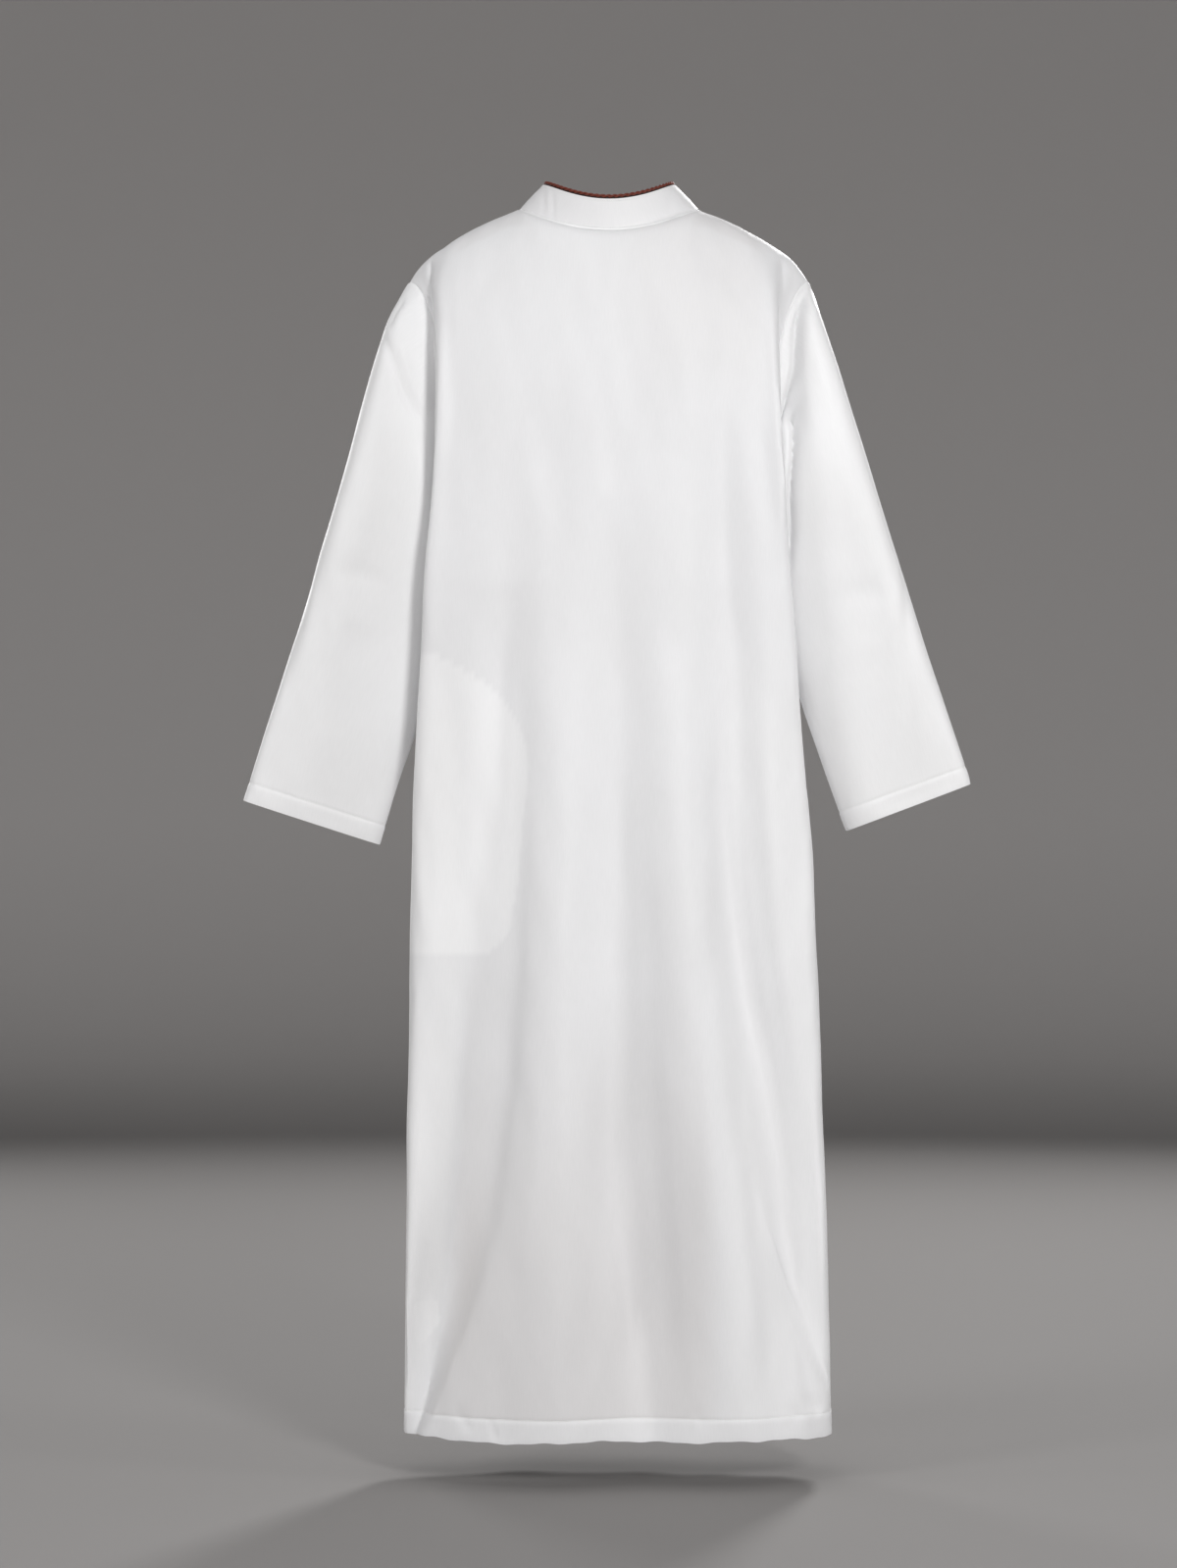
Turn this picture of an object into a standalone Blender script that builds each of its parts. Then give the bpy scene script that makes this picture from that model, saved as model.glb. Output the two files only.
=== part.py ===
"""Thobe: a long plain robe with set-in sleeves, a stand collar edged with cord, and a half placket.

The robe stands open as it is worn, with nobody in it. Metres, +Z up. The front faces -Y and the wearer's
left is +X. The origin is the middle of the neck, level with the points where the shoulder seams meet the
collar. Sizes are in millimetres, and a drop is a distance down from the origin.
"""
import math
from collections import namedtuple

import bpy
import numpy as np
from mathutils import Vector

MM = 0.001
LEFT, RIGHT = 1, -1
BACK, FRONT = 1, -1
SIDE_NAME = {LEFT: "left", RIGHT: "right"}
FACE_NAME = {BACK: "back", FRONT: "front"}

# Cloth and seams.
CLOTH = 1.8
TURNED_HEM = 3.0
SEAM_GAP = 0.3
HEM_BAND = 26.0
CUFF_BAND = 21.0

# Neck, shoulders and armholes.
NECK_HALF_WIDTH = 105.0
NECK_DEPTH = {BACK: 72.0, FRONT: 90.0}
NECK_DROP = {BACK: 30.0, FRONT: 88.0}
NECK_CURVE = {BACK: 2.0, FRONT: 1.5}
FOLD_START = {LEFT: 204.0, RIGHT: 190.0}
TIP_OUT, TIP_DROP = 230.0, 81.0
UNDERARM_OUT, UNDERARM_DROP = 180.0, 290.0
ARMHOLE_DEPTH = {BACK: 46.0, FRONT: 46.0}
ARMHOLE_SCOOP = {BACK: 23.0, FRONT: 25.0}
HEM_DROP = 1402.0

Shoulder = namedtuple("Shoulder", "out drop")
SHOULDER_LINE = [
    Shoulder(105, 0),
    Shoulder(140, 14),
    Shoulder(166, 27),
    Shoulder(190, 41),
    Shoulder(208, 54),
    Shoulder(221, 68),
    Shoulder(230, 81),
]

# The body's sections: how far out the corner folds and the side seams lie, how deep the back and the front
# are, where the corner starts as a share of that depth, and how square the corner is.
Level = namedtuple("Level", "drop left right seam_left seam_right back front corner square")
BODY = [
    Level(290, 205, 197, 180, 180, 106, 112, 0.72, 2.6),
    Level(350, 207, 201, 178, 177, 107, 114, 0.70, 2.6),
    Level(434, 211, 208, 181, 180, 108, 115, 0.62, 2.6),
    Level(520, 215, 215, 193, 193, 109, 115, 0.50, 2.6),
    Level(603, 220, 221, 215, 215, 110, 114, 0.34, 2.6),
    Level(700, 224, 231, 224, 231, 111, 113, 0.20, 2.5),
    Level(830, 228, 237, 228, 237, 112, 113, 0.14, 2.5),
    Level(1000, 231, 244, 231, 244, 113, 114, 0.12, 2.4),
    Level(1200, 234, 251, 234, 251, 113, 116, 0.12, 2.4),
    Level(1402, 236, 256, 236, 256, 111, 118, 0.12, 2.4),
]

# The hanging folds. Each row places one fold at one height: how far across it lies (+ towards the wearer's
# left), how wide it is, and how far it sinks into the cloth (a ridge has a depth below zero).
Fold = namedtuple("Fold", "drop across width depth")
FOLDS = {
    BACK: [
        [Fold(430, 92, 34, 0), Fold(640, 96, 34, 9), Fold(880, 105, 34, 16), Fold(1112, 132, 38, 20),
         Fold(1260, 165, 36, 18), Fold(1402, 206, 26, 9)],
        [Fold(330, -30, 34, 0), Fold(600, -32, 32, 8), Fold(886, -48, 34, 15), Fold(1112, -54, 38, 19),
         Fold(1259, -72, 40, 18), Fold(1402, -68, 44, 11)],
        [Fold(430, -128, 30, 0), Fold(716, -158, 28, 8), Fold(976, -192, 30, 9), Fold(1150, -212, 28, 7),
         Fold(1402, -224, 26, 0)],
        [Fold(500, 36, 36, 0), Fold(900, 38, 38, -6), Fold(1200, 40, 44, -9), Fold(1402, 46, 50, -6)],
        [Fold(500, -90, 30, 0), Fold(886, -118, 34, -7), Fold(1112, -150, 34, -9), Fold(1402, -182, 34, -5)],
    ],
    FRONT: [
        [Fold(380, 78, 36, 0), Fold(700, 84, 36, 9), Fold(1000, 98, 40, 15), Fold(1250, 122, 42, 19),
         Fold(1402, 140, 44, 13)],
        [Fold(300, -58, 34, 0), Fold(620, -66, 36, 8), Fold(950, -84, 40, 14), Fold(1402, -116, 46, 16)],
        [Fold(800, 12, 34, 0), Fold(1060, 6, 38, 8), Fold(1402, -4, 46, 11)],
        [Fold(600, 170, 28, 0), Fold(1000, 188, 26, 6), Fold(1402, 204, 26, 5)],
        [Fold(700, -150, 30, 0), Fold(1100, -178, 30, 7), Fold(1402, -196, 30, 8)],
    ],
}

# The sleeves: the outer and the inner edge of each ring, its depth from front to back, and how far its
# middle lies in front of the shoulder.
Ring = namedtuple("Ring", "along outer outer_drop inner inner_drop depth forward")
SLEEVES = {
    LEFT: [
        Ring(0.00, 230, 81, 180, 290, 92, -1),
        Ring(0.06, 241, 99, 183, 294, 98, -1),
        Ring(0.12, 253, 123, 185, 300, 104, -1),
        Ring(0.20, 266, 164, 187, 310, 112, -1),
        Ring(0.30, 285, 230, 188, 330, 120, 0),
        Ring(0.40, 305, 300, 188, 370, 120, 2),
        Ring(0.52, 329, 380, 190, 430, 110, 5),
        Ring(0.64, 352, 460, 197, 502, 96, 8),
        Ring(0.76, 376, 536, 216, 580, 82, 11),
        Ring(0.88, 399, 606, 242, 654, 66, 14),
        Ring(1.00, 422, 678, 265, 729, 50, 17),
    ],
    RIGHT: [
        Ring(0.00, 230, 81, 180, 290, 92, -1),
        Ring(0.06, 238, 99, 183, 294, 98, -1),
        Ring(0.12, 245, 123, 185, 300, 104, -1),
        Ring(0.20, 258, 164, 187, 310, 112, -1),
        Ring(0.30, 279, 230, 188, 330, 120, 0),
        Ring(0.40, 300, 296, 188, 366, 120, 2),
        Ring(0.52, 324, 374, 191, 424, 110, 5),
        Ring(0.64, 348, 450, 200, 490, 96, 8),
        Ring(0.76, 371, 523, 223, 568, 82, 11),
        Ring(0.88, 394, 592, 248, 640, 66, 14),
        Ring(1.00, 417, 659, 274, 713, 50, 17),
    ],
}

# Collar, piping, placket and buttons.
COLLAR_CLOTH = 2.4
COLLAR_TOP_HALF_WIDTH = 76.0
COLLAR_TOP_DEPTH = {BACK: 66.0, FRONT: 74.0}
COLLAR_TOP_SIDE = 31.0
COLLAR_TOP_DROP = {BACK: -7.0, FRONT: 56.0}
COLLAR_END_GAP = 3.0
COLLAR_ROWS = 4
PIPING_DIAMETER = 3.2
PLACKET_HALF_WIDTH = 17.0
PLACKET_CLOTH = 1.6
PLACKET_GAP = 0.9
PLACKET_DROP = 480.0
SLIT_WIDTH = 1.0
BUTTON_DROPS = (128.0, 224.0, 320.0, 416.0)
BUTTON_SIDES = 20
Turning = namedtuple("Turning", "radius height")
BUTTON_PROFILE = [
    Turning(0, 1.9),
    Turning(3.7, 1.9),
    Turning(4.3, 2.6),
    Turning(5.1, 2.6),
    Turning(5.75, 1.9),
    Turning(5.75, 0.8),
    Turning(4.9, 0),
    Turning(0, 0),
]

# Pocket bags and care label, inside the back panel. A reach is measured round the cloth from the side seam.
BAG_CLOTH = 1.6
BAG_GAP = 2.6
SEAM_MARGIN = 6.0
Bag = namedtuple("Bag", "drop reach")
BAG_OUTLINE = [
    Bag(508, 92),
    Bag(524, 122),
    Bag(548, 158),
    Bag(598, 190),
    Bag(716, 188),
    Bag(800, 180),
    Bag(840, 168),
    Bag(854, 150),
]
BAG_ROWS = 14
BAG_COLUMNS = 9
LABEL_CLOTH = 1.0
LABEL_DROP = 1256.0
LABEL_HEIGHT = 45.0
LABEL_WIDTH = 34.0
LABEL_RISE = 9.0
LABEL_YAW = math.radians(32.0)
LABEL_COLUMNS = 4

# How the cloth is shaped between its edges. The hanging folds fade where the cloth turns to the side, over
# FOLD_FADE; the yoke is eased by a few passes of smoothing, fewer near its top and bottom.
FOLD_FADE = 40.0
SHOULDER_ROUNDNESS = 2.8
YOKE_FALL = 1.2
YOKE_EASE = 8
EASE_FROM_TOP = 18
EASE_FROM_BOTTOM = 24
SLEEVE_HEAD_SHARE = 0.25
LEAST_MITRE = 0.6

# How finely the cloth is divided.
NECK_COLUMNS, SHOULDER_COLUMNS, CORNER_COLUMNS = 7, 5, 4
HALF_COLUMNS = NECK_COLUMNS + SHOULDER_COLUMNS + CORNER_COLUMNS
SMOOTH_TO = NECK_COLUMNS + 3
UPPER_ROWS = 12
LOWER_ROWS = 20
SLEEVE_RINGS = 16
RING_SPREAD = 1.15
DENSE = 160
PIPING_RESOLUTION = 2
PLACKET_FIRST_ROW = 0.02
MERGE_METRES = 0.0001

Finish = namedtuple("Finish", "name colour roughness")
WHITE_CLOTH = Finish("white_cloth", (0.83, 0.83, 0.82, 1.0), 0.85)
POCKET_CLOTH = Finish("pocket_cloth", (0.86, 0.86, 0.84, 1.0), 0.9)
LABEL_WHITE = Finish("label_white", (0.88, 0.88, 0.88, 1.0), 0.7)
RUST_CORD = Finish("rust_cord", (0.17, 0.032, 0.018, 1.0), 0.6)
BUTTON_WHITE = Finish("button_white", (0.86, 0.85, 0.82, 1.0), 0.35)


def read(table, name, at):
    """A column of a table at one value of its first column, on a smooth curve through the rows."""
    keys = np.array([row[0] for row in table], float)
    values = np.array([getattr(row, name) for row in table], float)
    slopes = np.gradient(values, keys)
    at = min(max(at, keys[0]), keys[-1])
    i = int(np.clip(np.searchsorted(keys, at) - 1, 0, len(keys) - 2))
    span = keys[i + 1] - keys[i]
    t = (at - keys[i]) / span
    start = values[i] * (1 + 2 * t) * (1 - t) ** 2 + slopes[i] * span * t * (1 - t) ** 2
    end = values[i + 1] * t * t * (3 - 2 * t) + slopes[i + 1] * span * t * t * (t - 1)
    return start + end


def unit(vectors):
    """The vectors at length one."""
    return vectors / np.maximum(np.linalg.norm(vectors, axis=-1, keepdims=True), 1e-9)


def folded(points, face, drop):
    """A section's points, moved in and out of the cloth by the folds that cross its height."""
    tangents = unit(np.gradient(points, axis=0))
    outward = np.stack([-tangents[:, 1], tangents[:, 0]], axis=1)
    outward *= np.sign((outward * points).sum(axis=1).mean())
    sink = np.zeros(len(points))
    for rows in FOLDS[face]:
        if rows[0].drop < drop:
            across, width, depth = (read(rows, name, drop) for name in ("across", "width", "depth"))
            sink += depth * np.exp(-(((points[:, 0] - across) / width) ** 2))
    fade = np.clip(np.abs(points[:, 1]) / FOLD_FADE, 0.0, 1.0)
    return points - outward * (sink * fade)[:, None]


def quarter(side, face, drop):
    """Evenly spaced points on one quarter of the body's section, from its middle to the side seam."""
    half = read(BODY, SIDE_NAME[side], drop)
    seam = read(BODY, "seam_" + SIDE_NAME[side], drop)
    depth = read(BODY, FACE_NAME[face], drop)
    corner = read(BODY, "corner", drop) * depth
    power = 2.0 / read(BODY, "square", drop)
    turn = np.linspace(0.0, math.pi / 2, DENSE)
    run = np.linspace(0.0, 1.0, DENSE)[1:]
    hollow = ((1 + np.cos(math.pi * run)) / 2) ** 2
    out = np.concatenate([half * np.sin(turn) ** power, seam + (half - seam) * hollow])
    deep = np.concatenate([corner + (depth - corner) * np.cos(turn) ** power, corner * (1 - run)])
    points = folded(np.stack([side * out, face * deep], axis=1), face, drop)
    length = np.concatenate([[0.0], np.cumsum(np.linalg.norm(np.diff(points, axis=0), axis=1))])
    even = np.linspace(0.0, length[-1], HALF_COLUMNS + 1)
    flat = np.stack([np.interp(even, length, points[:, k]) for k in (0, 1)], axis=1)
    return np.column_stack([flat, np.full(len(flat), -drop)])


def neck_arc(side, face, half_width, depth, drop, side_rise):
    """A quarter of a ring round the neck, from the middle of the back or front to the side."""
    turn = np.linspace(0.0, math.pi / 2, NECK_COLUMNS + 1)
    fall = np.maximum(np.cos(turn), 0.0) ** NECK_CURVE[face]
    return np.stack([
        side * half_width * np.sin(turn),
        face * depth * np.cos(turn),
        side_rise - (drop + side_rise) * fall,
    ], axis=1)


def top_edge(side, face):
    """The neckline and then the shoulder seam, out to the tip of the shoulder."""
    fold = FOLD_START[side]
    out = np.concatenate([
        np.linspace(NECK_HALF_WIDTH, fold, SHOULDER_COLUMNS + 1)[1:],
        np.linspace(fold, TIP_OUT, CORNER_COLUMNS + 1)[1:],
    ])
    drops = np.array([read(SHOULDER_LINE, "drop", x) for x in out])
    seam = np.stack([side * out, np.zeros(len(out)), -drops], axis=1)
    neckline = neck_arc(side, face, NECK_HALF_WIDTH, NECK_DEPTH[face], NECK_DROP[face], 0.0)
    return np.concatenate([neckline, seam])


def armhole(side, face, share):
    """A point of the armhole, from the tip of the shoulder (0) to the underarm (1)."""
    turn = math.pi * share
    fall = (1 - math.cos(turn)) / 2
    scoop = ARMHOLE_SCOOP[face] * math.sin(turn) * math.sqrt(max(1 - fall, 0.0))
    out = TIP_OUT + (UNDERARM_OUT - TIP_OUT) * fall - scoop
    drop = TIP_DROP + (UNDERARM_DROP - TIP_DROP) * fall
    return np.array([side * out, face * ARMHOLE_DEPTH[face] * math.sin(turn), -drop])


def upper_row(side, face, share):
    """One row of the yoke, from the middle to the armhole."""
    top, low = top_edge(side, face), quarter(side, face, UNDERARM_DROP)
    across = np.linspace(0.0, 1.0, HALF_COLUMNS + 1)
    early, late = share ** YOKE_FALL, (1 - math.cos(math.pi * share)) / 2
    fall = early + (late - early) * across ** 2
    bulge = (1 - (1 - fall) ** SHOULDER_ROUNDNESS) ** (1 / SHOULDER_ROUNDNESS)
    row = top + (low - top) * np.stack([fall, bulge, fall], axis=1)
    for _ in range(int(min(share * EASE_FROM_TOP, (1 - share) * EASE_FROM_BOTTOM, YOKE_EASE))):
        row[1:SMOOTH_TO] = (row[:SMOOTH_TO - 1] + 2 * row[1:SMOOTH_TO] + row[2:SMOOTH_TO + 1]) / 4
    corner = (NECK_COLUMNS + SHOULDER_COLUMNS) / HALF_COLUMNS
    pull = np.clip((across - corner) / (1 - corner), 0.0, 1.0)
    return row + pull[:, None] * (armhole(side, face, share) - row[-1])


def half_panel(side, face):
    """The rows of half a panel, from the top edge down to the hem."""
    upper = [upper_row(side, face, r / UPPER_ROWS) for r in range(UPPER_ROWS)]
    drops = np.linspace(UNDERARM_DROP, HEM_DROP - HEM_BAND, LOWER_ROWS)
    lower = [quarter(side, face, drop) for drop in [*drops, HEM_DROP]]
    return np.array(upper + lower)


def grid_normals(grid, closed=False):
    """The normals of a grid of points, which point the way that rows cross columns."""
    if closed:
        around = np.roll(grid, -1, axis=1) - np.roll(grid, 1, axis=1)
    else:
        around = np.gradient(grid, axis=1)
    return unit(np.cross(around, np.gradient(grid, axis=0)))


def grid_faces(rows, columns, closed=False):
    """The quads of a grid whose points are numbered along each row."""
    across = columns if closed else columns - 1
    return [
        (r * columns + c, r * columns + (c + 1) % columns, (r + 1) * columns + (c + 1) % columns,
         (r + 1) * columns + c)
        for r in range(rows - 1)
        for c in range(across)
    ]


def wall(name, outer, inner, faces, material):
    """A closed wall of cloth: outer faces, inner faces, and a rim along each free edge."""
    outer, inner = np.reshape(outer, (-1, 3)), np.reshape(inner, (-1, 3))
    count = len(outer)
    edges = {(a, b) for face in faces for a, b in zip(face, face[1:] + face[:1])}
    inside = [tuple(i + count for i in reversed(face)) for face in faces]
    rim = [(b, a, a + count, b + count) for a, b in sorted(edges) if (b, a) not in edges]
    mesh = bpy.data.meshes.new(name)
    mesh.from_pydata(np.concatenate([outer, inner]) * MM, [], [*faces, *inside, *rim])
    mesh.validate()
    mesh.materials.append(material)
    return place(name, mesh)


def place(name, data):
    """A new object in the robe's collection."""
    piece = bpy.data.objects.new(name, data)
    bpy.data.collections["thobe_robe"].objects.link(piece)
    return piece


def make_material(finish):
    """A plain material for one finish."""
    material = bpy.data.materials.new(finish.name)
    material.use_nodes = True
    shader = material.node_tree.nodes["Principled BSDF"]
    shader.inputs["Base Color"].default_value = finish.colour
    shader.inputs["Roughness"].default_value = finish.roughness
    shader.inputs["Metallic"].default_value = 0.0
    return material


class Panel:
    """The back or the front, as two half grids that share the middle column."""

    def __init__(self, face):
        self.face = face
        self.halves = {side: half_panel(side, face) for side in (LEFT, RIGHT)}
        self.normals = {side: grid_normals(grid) * side * face for side, grid in self.halves.items()}
        middle = unit(self.normals[LEFT][:, 0] + self.normals[RIGHT][:, 0])
        for side in (LEFT, RIGHT):
            self.normals[side][:, 0] = middle
        self.thickness = np.full(len(self.halves[LEFT]), CLOTH)
        self.thickness[-2:] = TURNED_HEM
        self.mitre = {side: np.ones(grid.shape[:2]) for side, grid in self.halves.items()}

    def inside(self, side):
        """The wall's inner points."""
        reach = self.thickness[:, None] * self.mitre[side]
        return self.halves[side] - self.normals[side] * reach[:, :, None]


def share_normals(one, other):
    """The normal that two walls share at a seam, and how much longer a mitred wall is there."""
    shared = unit(one + other)
    return shared, 1.0 / np.maximum((shared * one).sum(axis=-1), LEAST_MITRE)


def match_seams(back, front):
    """Makes the two panels agree along the shoulder and side seams."""
    shoulder = (slice(0, 1), slice(NECK_COLUMNS, None))
    side_seam = (slice(UPPER_ROWS, None), slice(-1, None))
    for side in (LEFT, RIGHT):
        for rows, columns in (shoulder, side_seam):
            one, other = (panel.normals[side][rows, columns] for panel in (back, front))
            shared, longer = share_normals(one, other)
            for panel in (back, front):
                panel.normals[side][rows, columns] = shared
                panel.mitre[side][rows, columns] = longer


def pulled_back(grid, line, next_line, gap):
    """The way from a boundary line towards its neighbour, at the length of the gap."""
    return unit(grid[next_line] - grid[line]) * gap


def open_seams(outer, inner):
    """Draws a panel's edges back by half the seam gap, on the shoulder, the neckline and the side."""
    half = SEAM_GAP / 2
    top = pulled_back(outer, 0, 1, half)
    edge = pulled_back(outer.swapaxes(0, 1), -1, -2, half)
    for grid in (outer, inner):
        grid[0] += top
        grid[:, -1] += edge


def build_panel(panel, name, slit_drop, material):
    """A panel's solid. A slit runs down its middle from the neckline, if it has one."""
    rows, columns = panel.halves[LEFT].shape[:2]
    grids = {}
    for side in (LEFT, RIGHT):
        outer, inner = panel.halves[side].copy(), panel.inside(side)
        open_seams(outer, inner)
        grids[side] = (outer, inner)
    drops = -panel.halves[LEFT][:, 0, 2]
    slit = drops < slit_drop
    for grid in grids[LEFT]:
        grid[slit, 0, 0] += SLIT_WIDTH / 2
    for grid in grids[RIGHT]:
        grid[slit, 0, 0] -= SLIT_WIDTH / 2
    outer = np.concatenate([grids[LEFT][0].reshape(-1, 3), grids[RIGHT][0].reshape(-1, 3)])
    inner = np.concatenate([grids[LEFT][1].reshape(-1, 3), grids[RIGHT][1].reshape(-1, 3)])
    count = rows * columns
    left = grid_faces(rows, columns)
    joined = {count + r * columns: r * columns for r in range(rows) if not slit[r]}
    right = [tuple(joined.get(i + count, i + count) for i in reversed(face)) for face in left]
    faces = left + right
    if panel.face == FRONT:
        faces = [tuple(reversed(face)) for face in faces]
    used = sorted({i for face in faces for i in face})
    number = {old: new for new, old in enumerate(used)}
    faces = [tuple(number[i] for i in face) for face in faces]
    return wall(name, outer[used], inner[used], faces, material)


def sleeve_ring(side, share):
    """One ring of a sleeve, round from its outer edge by the back to its inner edge and by the front."""
    rows = SLEEVES[side]
    outer = np.array([side * read(rows, "outer", share), 0.0, -read(rows, "outer_drop", share)])
    inner = np.array([side * read(rows, "inner", share), 0.0, -read(rows, "inner_drop", share)])
    turn = np.linspace(0.0, 2 * math.pi, 2 * UPPER_ROWS, endpoint=False)
    middle = (outer + inner) / 2 - np.array([0.0, read(rows, "forward", share), 0.0])
    deep = np.array([0.0, read(rows, "depth", share) / 2, 0.0])
    return middle + np.outer(np.cos(turn), (outer - inner) / 2) + np.outer(np.sin(turn), deep)


def armhole_ring(side):
    """The whole armhole, in the order of a sleeve's ring."""
    back = [armhole(side, BACK, r / UPPER_ROWS) for r in range(UPPER_ROWS + 1)]
    front = [armhole(side, FRONT, r / UPPER_ROWS) for r in range(UPPER_ROWS - 1, 0, -1)]
    return np.array(back + front)


def sleeve_grid(side):
    """A sleeve's rings, from the armhole to the cuff."""
    length = read(SLEEVES[side], "outer_drop", 1.0) - TIP_DROP
    band = CUFF_BAND / length
    shares = np.concatenate([np.linspace(0.0, 1.0 - band, SLEEVE_RINGS) ** RING_SPREAD, [1.0]])
    offset = armhole_ring(side) - sleeve_ring(side, 0.0)
    fade = np.clip(1 - shares / SLEEVE_HEAD_SHARE, 0.0, 1.0) ** 2
    return np.array([sleeve_ring(side, s) + offset * f for s, f in zip(shares, fade)])


def build_sleeve(side, panels, material):
    """A set-in sleeve, mitred against the panels where the shoulder turns outwards."""
    grid = sleeve_grid(side)
    normals = grid_normals(grid, closed=True) * -side
    thickness = np.full(len(grid), CLOTH)
    thickness[-2:] = TURNED_HEM
    mitre = np.ones(grid.shape[:2])
    for c in range(2 * UPPER_ROWS):
        face = BACK if c <= UPPER_ROWS else FRONT
        row = c if c <= UPPER_ROWS else 2 * UPPER_ROWS - c
        panel = panels[face]
        turned_out = (grid[1, c] - grid[0, c]) @ panel.normals[side][row, -1] < 0
        if turned_out:
            shared, longer = share_normals(normals[0, c], panel.normals[side][row, -1])
            normals[0, c] = shared
            mitre[0, c] = longer
            for other in (panels[BACK], panels[FRONT]) if row in (0, UPPER_ROWS) else (panel,):
                other.normals[side][row, -1] = shared
                other.mitre[side][row, -1] = longer
    inner = grid - normals * (thickness[:, None] * mitre)[:, :, None]
    step = pulled_back(grid, 0, 1, SEAM_GAP)
    outer = grid.copy()
    outer[0] += step
    inner[0] += step
    faces = grid_faces(*grid.shape[:2], closed=True)
    if side == LEFT:
        faces = [tuple(reversed(face)) for face in faces]
    return wall("sleeve_" + SIDE_NAME[side], outer, inner, faces, material)


def neck_ring(half_width, depths, drops, side_rise):
    """A ring round the neck, from the left of the middle front by the back to the right of it."""
    quarters = []
    for side, face in ((LEFT, FRONT), (LEFT, BACK), (RIGHT, BACK), (RIGHT, FRONT)):
        arc = neck_arc(side, face, half_width, depths[face], drops[face], side_rise)
        from_middle = side * face == FRONT
        quarters.append(arc if from_middle else arc[::-1])
    ring = np.concatenate([quarters[0], *(arc[1:] for arc in quarters[1:])])
    ring[0, 0] += COLLAR_END_GAP / 2
    ring[-1, 0] -= COLLAR_END_GAP / 2
    return ring


def build_collar(material):
    """The stand collar, which leans in towards the neck. Returns its top edge and the way it points."""
    base = neck_ring(NECK_HALF_WIDTH, NECK_DEPTH, NECK_DROP, 0.0)
    top = neck_ring(COLLAR_TOP_HALF_WIDTH, COLLAR_TOP_DEPTH, COLLAR_TOP_DROP, COLLAR_TOP_SIDE)
    up = unit(top - base)
    base += up * SEAM_GAP / 2
    grid = np.array([base + (top - base) * share for share in np.linspace(0.0, 1.0, COLLAR_ROWS + 1)])
    inner = grid - grid_normals(grid) * COLLAR_CLOTH
    wall("collar", grid, inner, grid_faces(*grid.shape[:2]), material)
    return (grid[-1] + inner[-1]) / 2, up


def build_piping(edge, up, material):
    """The cord along the collar's top edge."""
    radius = PIPING_DIAMETER / 2
    line = (edge + up * (radius + SEAM_GAP)) * MM
    curve = bpy.data.curves.new("collar_piping", "CURVE")
    curve.dimensions = "3D"
    curve.bevel_depth = radius * MM
    curve.bevel_resolution = PIPING_RESOLUTION
    curve.use_fill_caps = True
    spline = curve.splines.new("POLY")
    spline.points.add(len(line) - 1)
    for point, place_at in zip(spline.points, line):
        point.co = (*place_at, 1.0)
    curve.materials.append(material)
    place("collar_piping", curve)


def on_panel(panel, side, row, column):
    """A point of a panel and its normal there, between the panel's own rows and columns."""
    grid, normals = panel.halves[side], panel.normals[side]
    r = min(int(row), grid.shape[0] - 2)
    c = min(int(column), grid.shape[1] - 2)
    down, across = row - r, column - c
    weights = np.outer([1 - down, down], [1 - across, across])[:, :, None]
    point = (grid[r:r + 2, c:c + 2] * weights).sum(axis=(0, 1))
    return point, unit((normals[r:r + 2, c:c + 2] * weights).sum(axis=(0, 1)))


def row_at(panel, drop):
    """The row of a panel at a drop, measured down its middle."""
    drops = -panel.halves[LEFT][:, 0, 2]
    return float(np.interp(drop, drops, np.arange(len(drops))))


def build_placket(front, material):
    """The strip over the front slit. Returns a function for the buttons' places on it."""
    last = row_at(front, PLACKET_DROP)
    rows = [PLACKET_FIRST_ROW, *range(1, int(last) + 1), last]
    points, normals = [], []
    for row in rows:
        first, second = (on_panel(front, LEFT, row, c)[0][0] for c in (0, 1))
        column = (PLACKET_HALF_WIDTH - first) / (second - first)
        places = ((RIGHT, row, column), (LEFT, row, 0), (LEFT, row, column))
        line = [on_panel(front, *place_at) for place_at in places]
        points.append([point for point, _ in line])
        normals.append([normal for _, normal in line])
    points, normals = np.array(points), np.array(normals)
    inner = points + normals * PLACKET_GAP
    outer = inner + normals * PLACKET_CLOTH
    faces = [tuple(reversed(face)) for face in grid_faces(*points.shape[:2])]
    wall("placket", outer, inner, faces, material)

    def button_place(drop):
        point, normal = on_panel(front, LEFT, row_at(front, drop), 0)
        return point + normal * (PLACKET_GAP + PLACKET_CLOTH + SEAM_GAP), normal

    return button_place


def build_buttons(button_place, material):
    """Plain dished buttons down the placket."""
    mesh = bpy.data.meshes.new("button")
    profile = [(p.radius * MM, 0.0, p.height * MM) for p in BUTTON_PROFILE]
    mesh.from_pydata(profile, [(i, i + 1) for i in range(len(profile) - 1)], [])
    mesh.materials.append(material)
    for number, drop in enumerate(BUTTON_DROPS, start=1):
        button = place(f"button_{number}", mesh)
        point, normal = button_place(drop)
        button.location = point * MM
        button.rotation_euler = Vector(normal).to_track_quat("Z", "X").to_euler()
        turn = button.modifiers.new("turn", "SCREW")
        turn.steps = turn.render_steps = BUTTON_SIDES
        turn.use_merge_vertices = True
        turn.merge_threshold = MERGE_METRES


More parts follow.
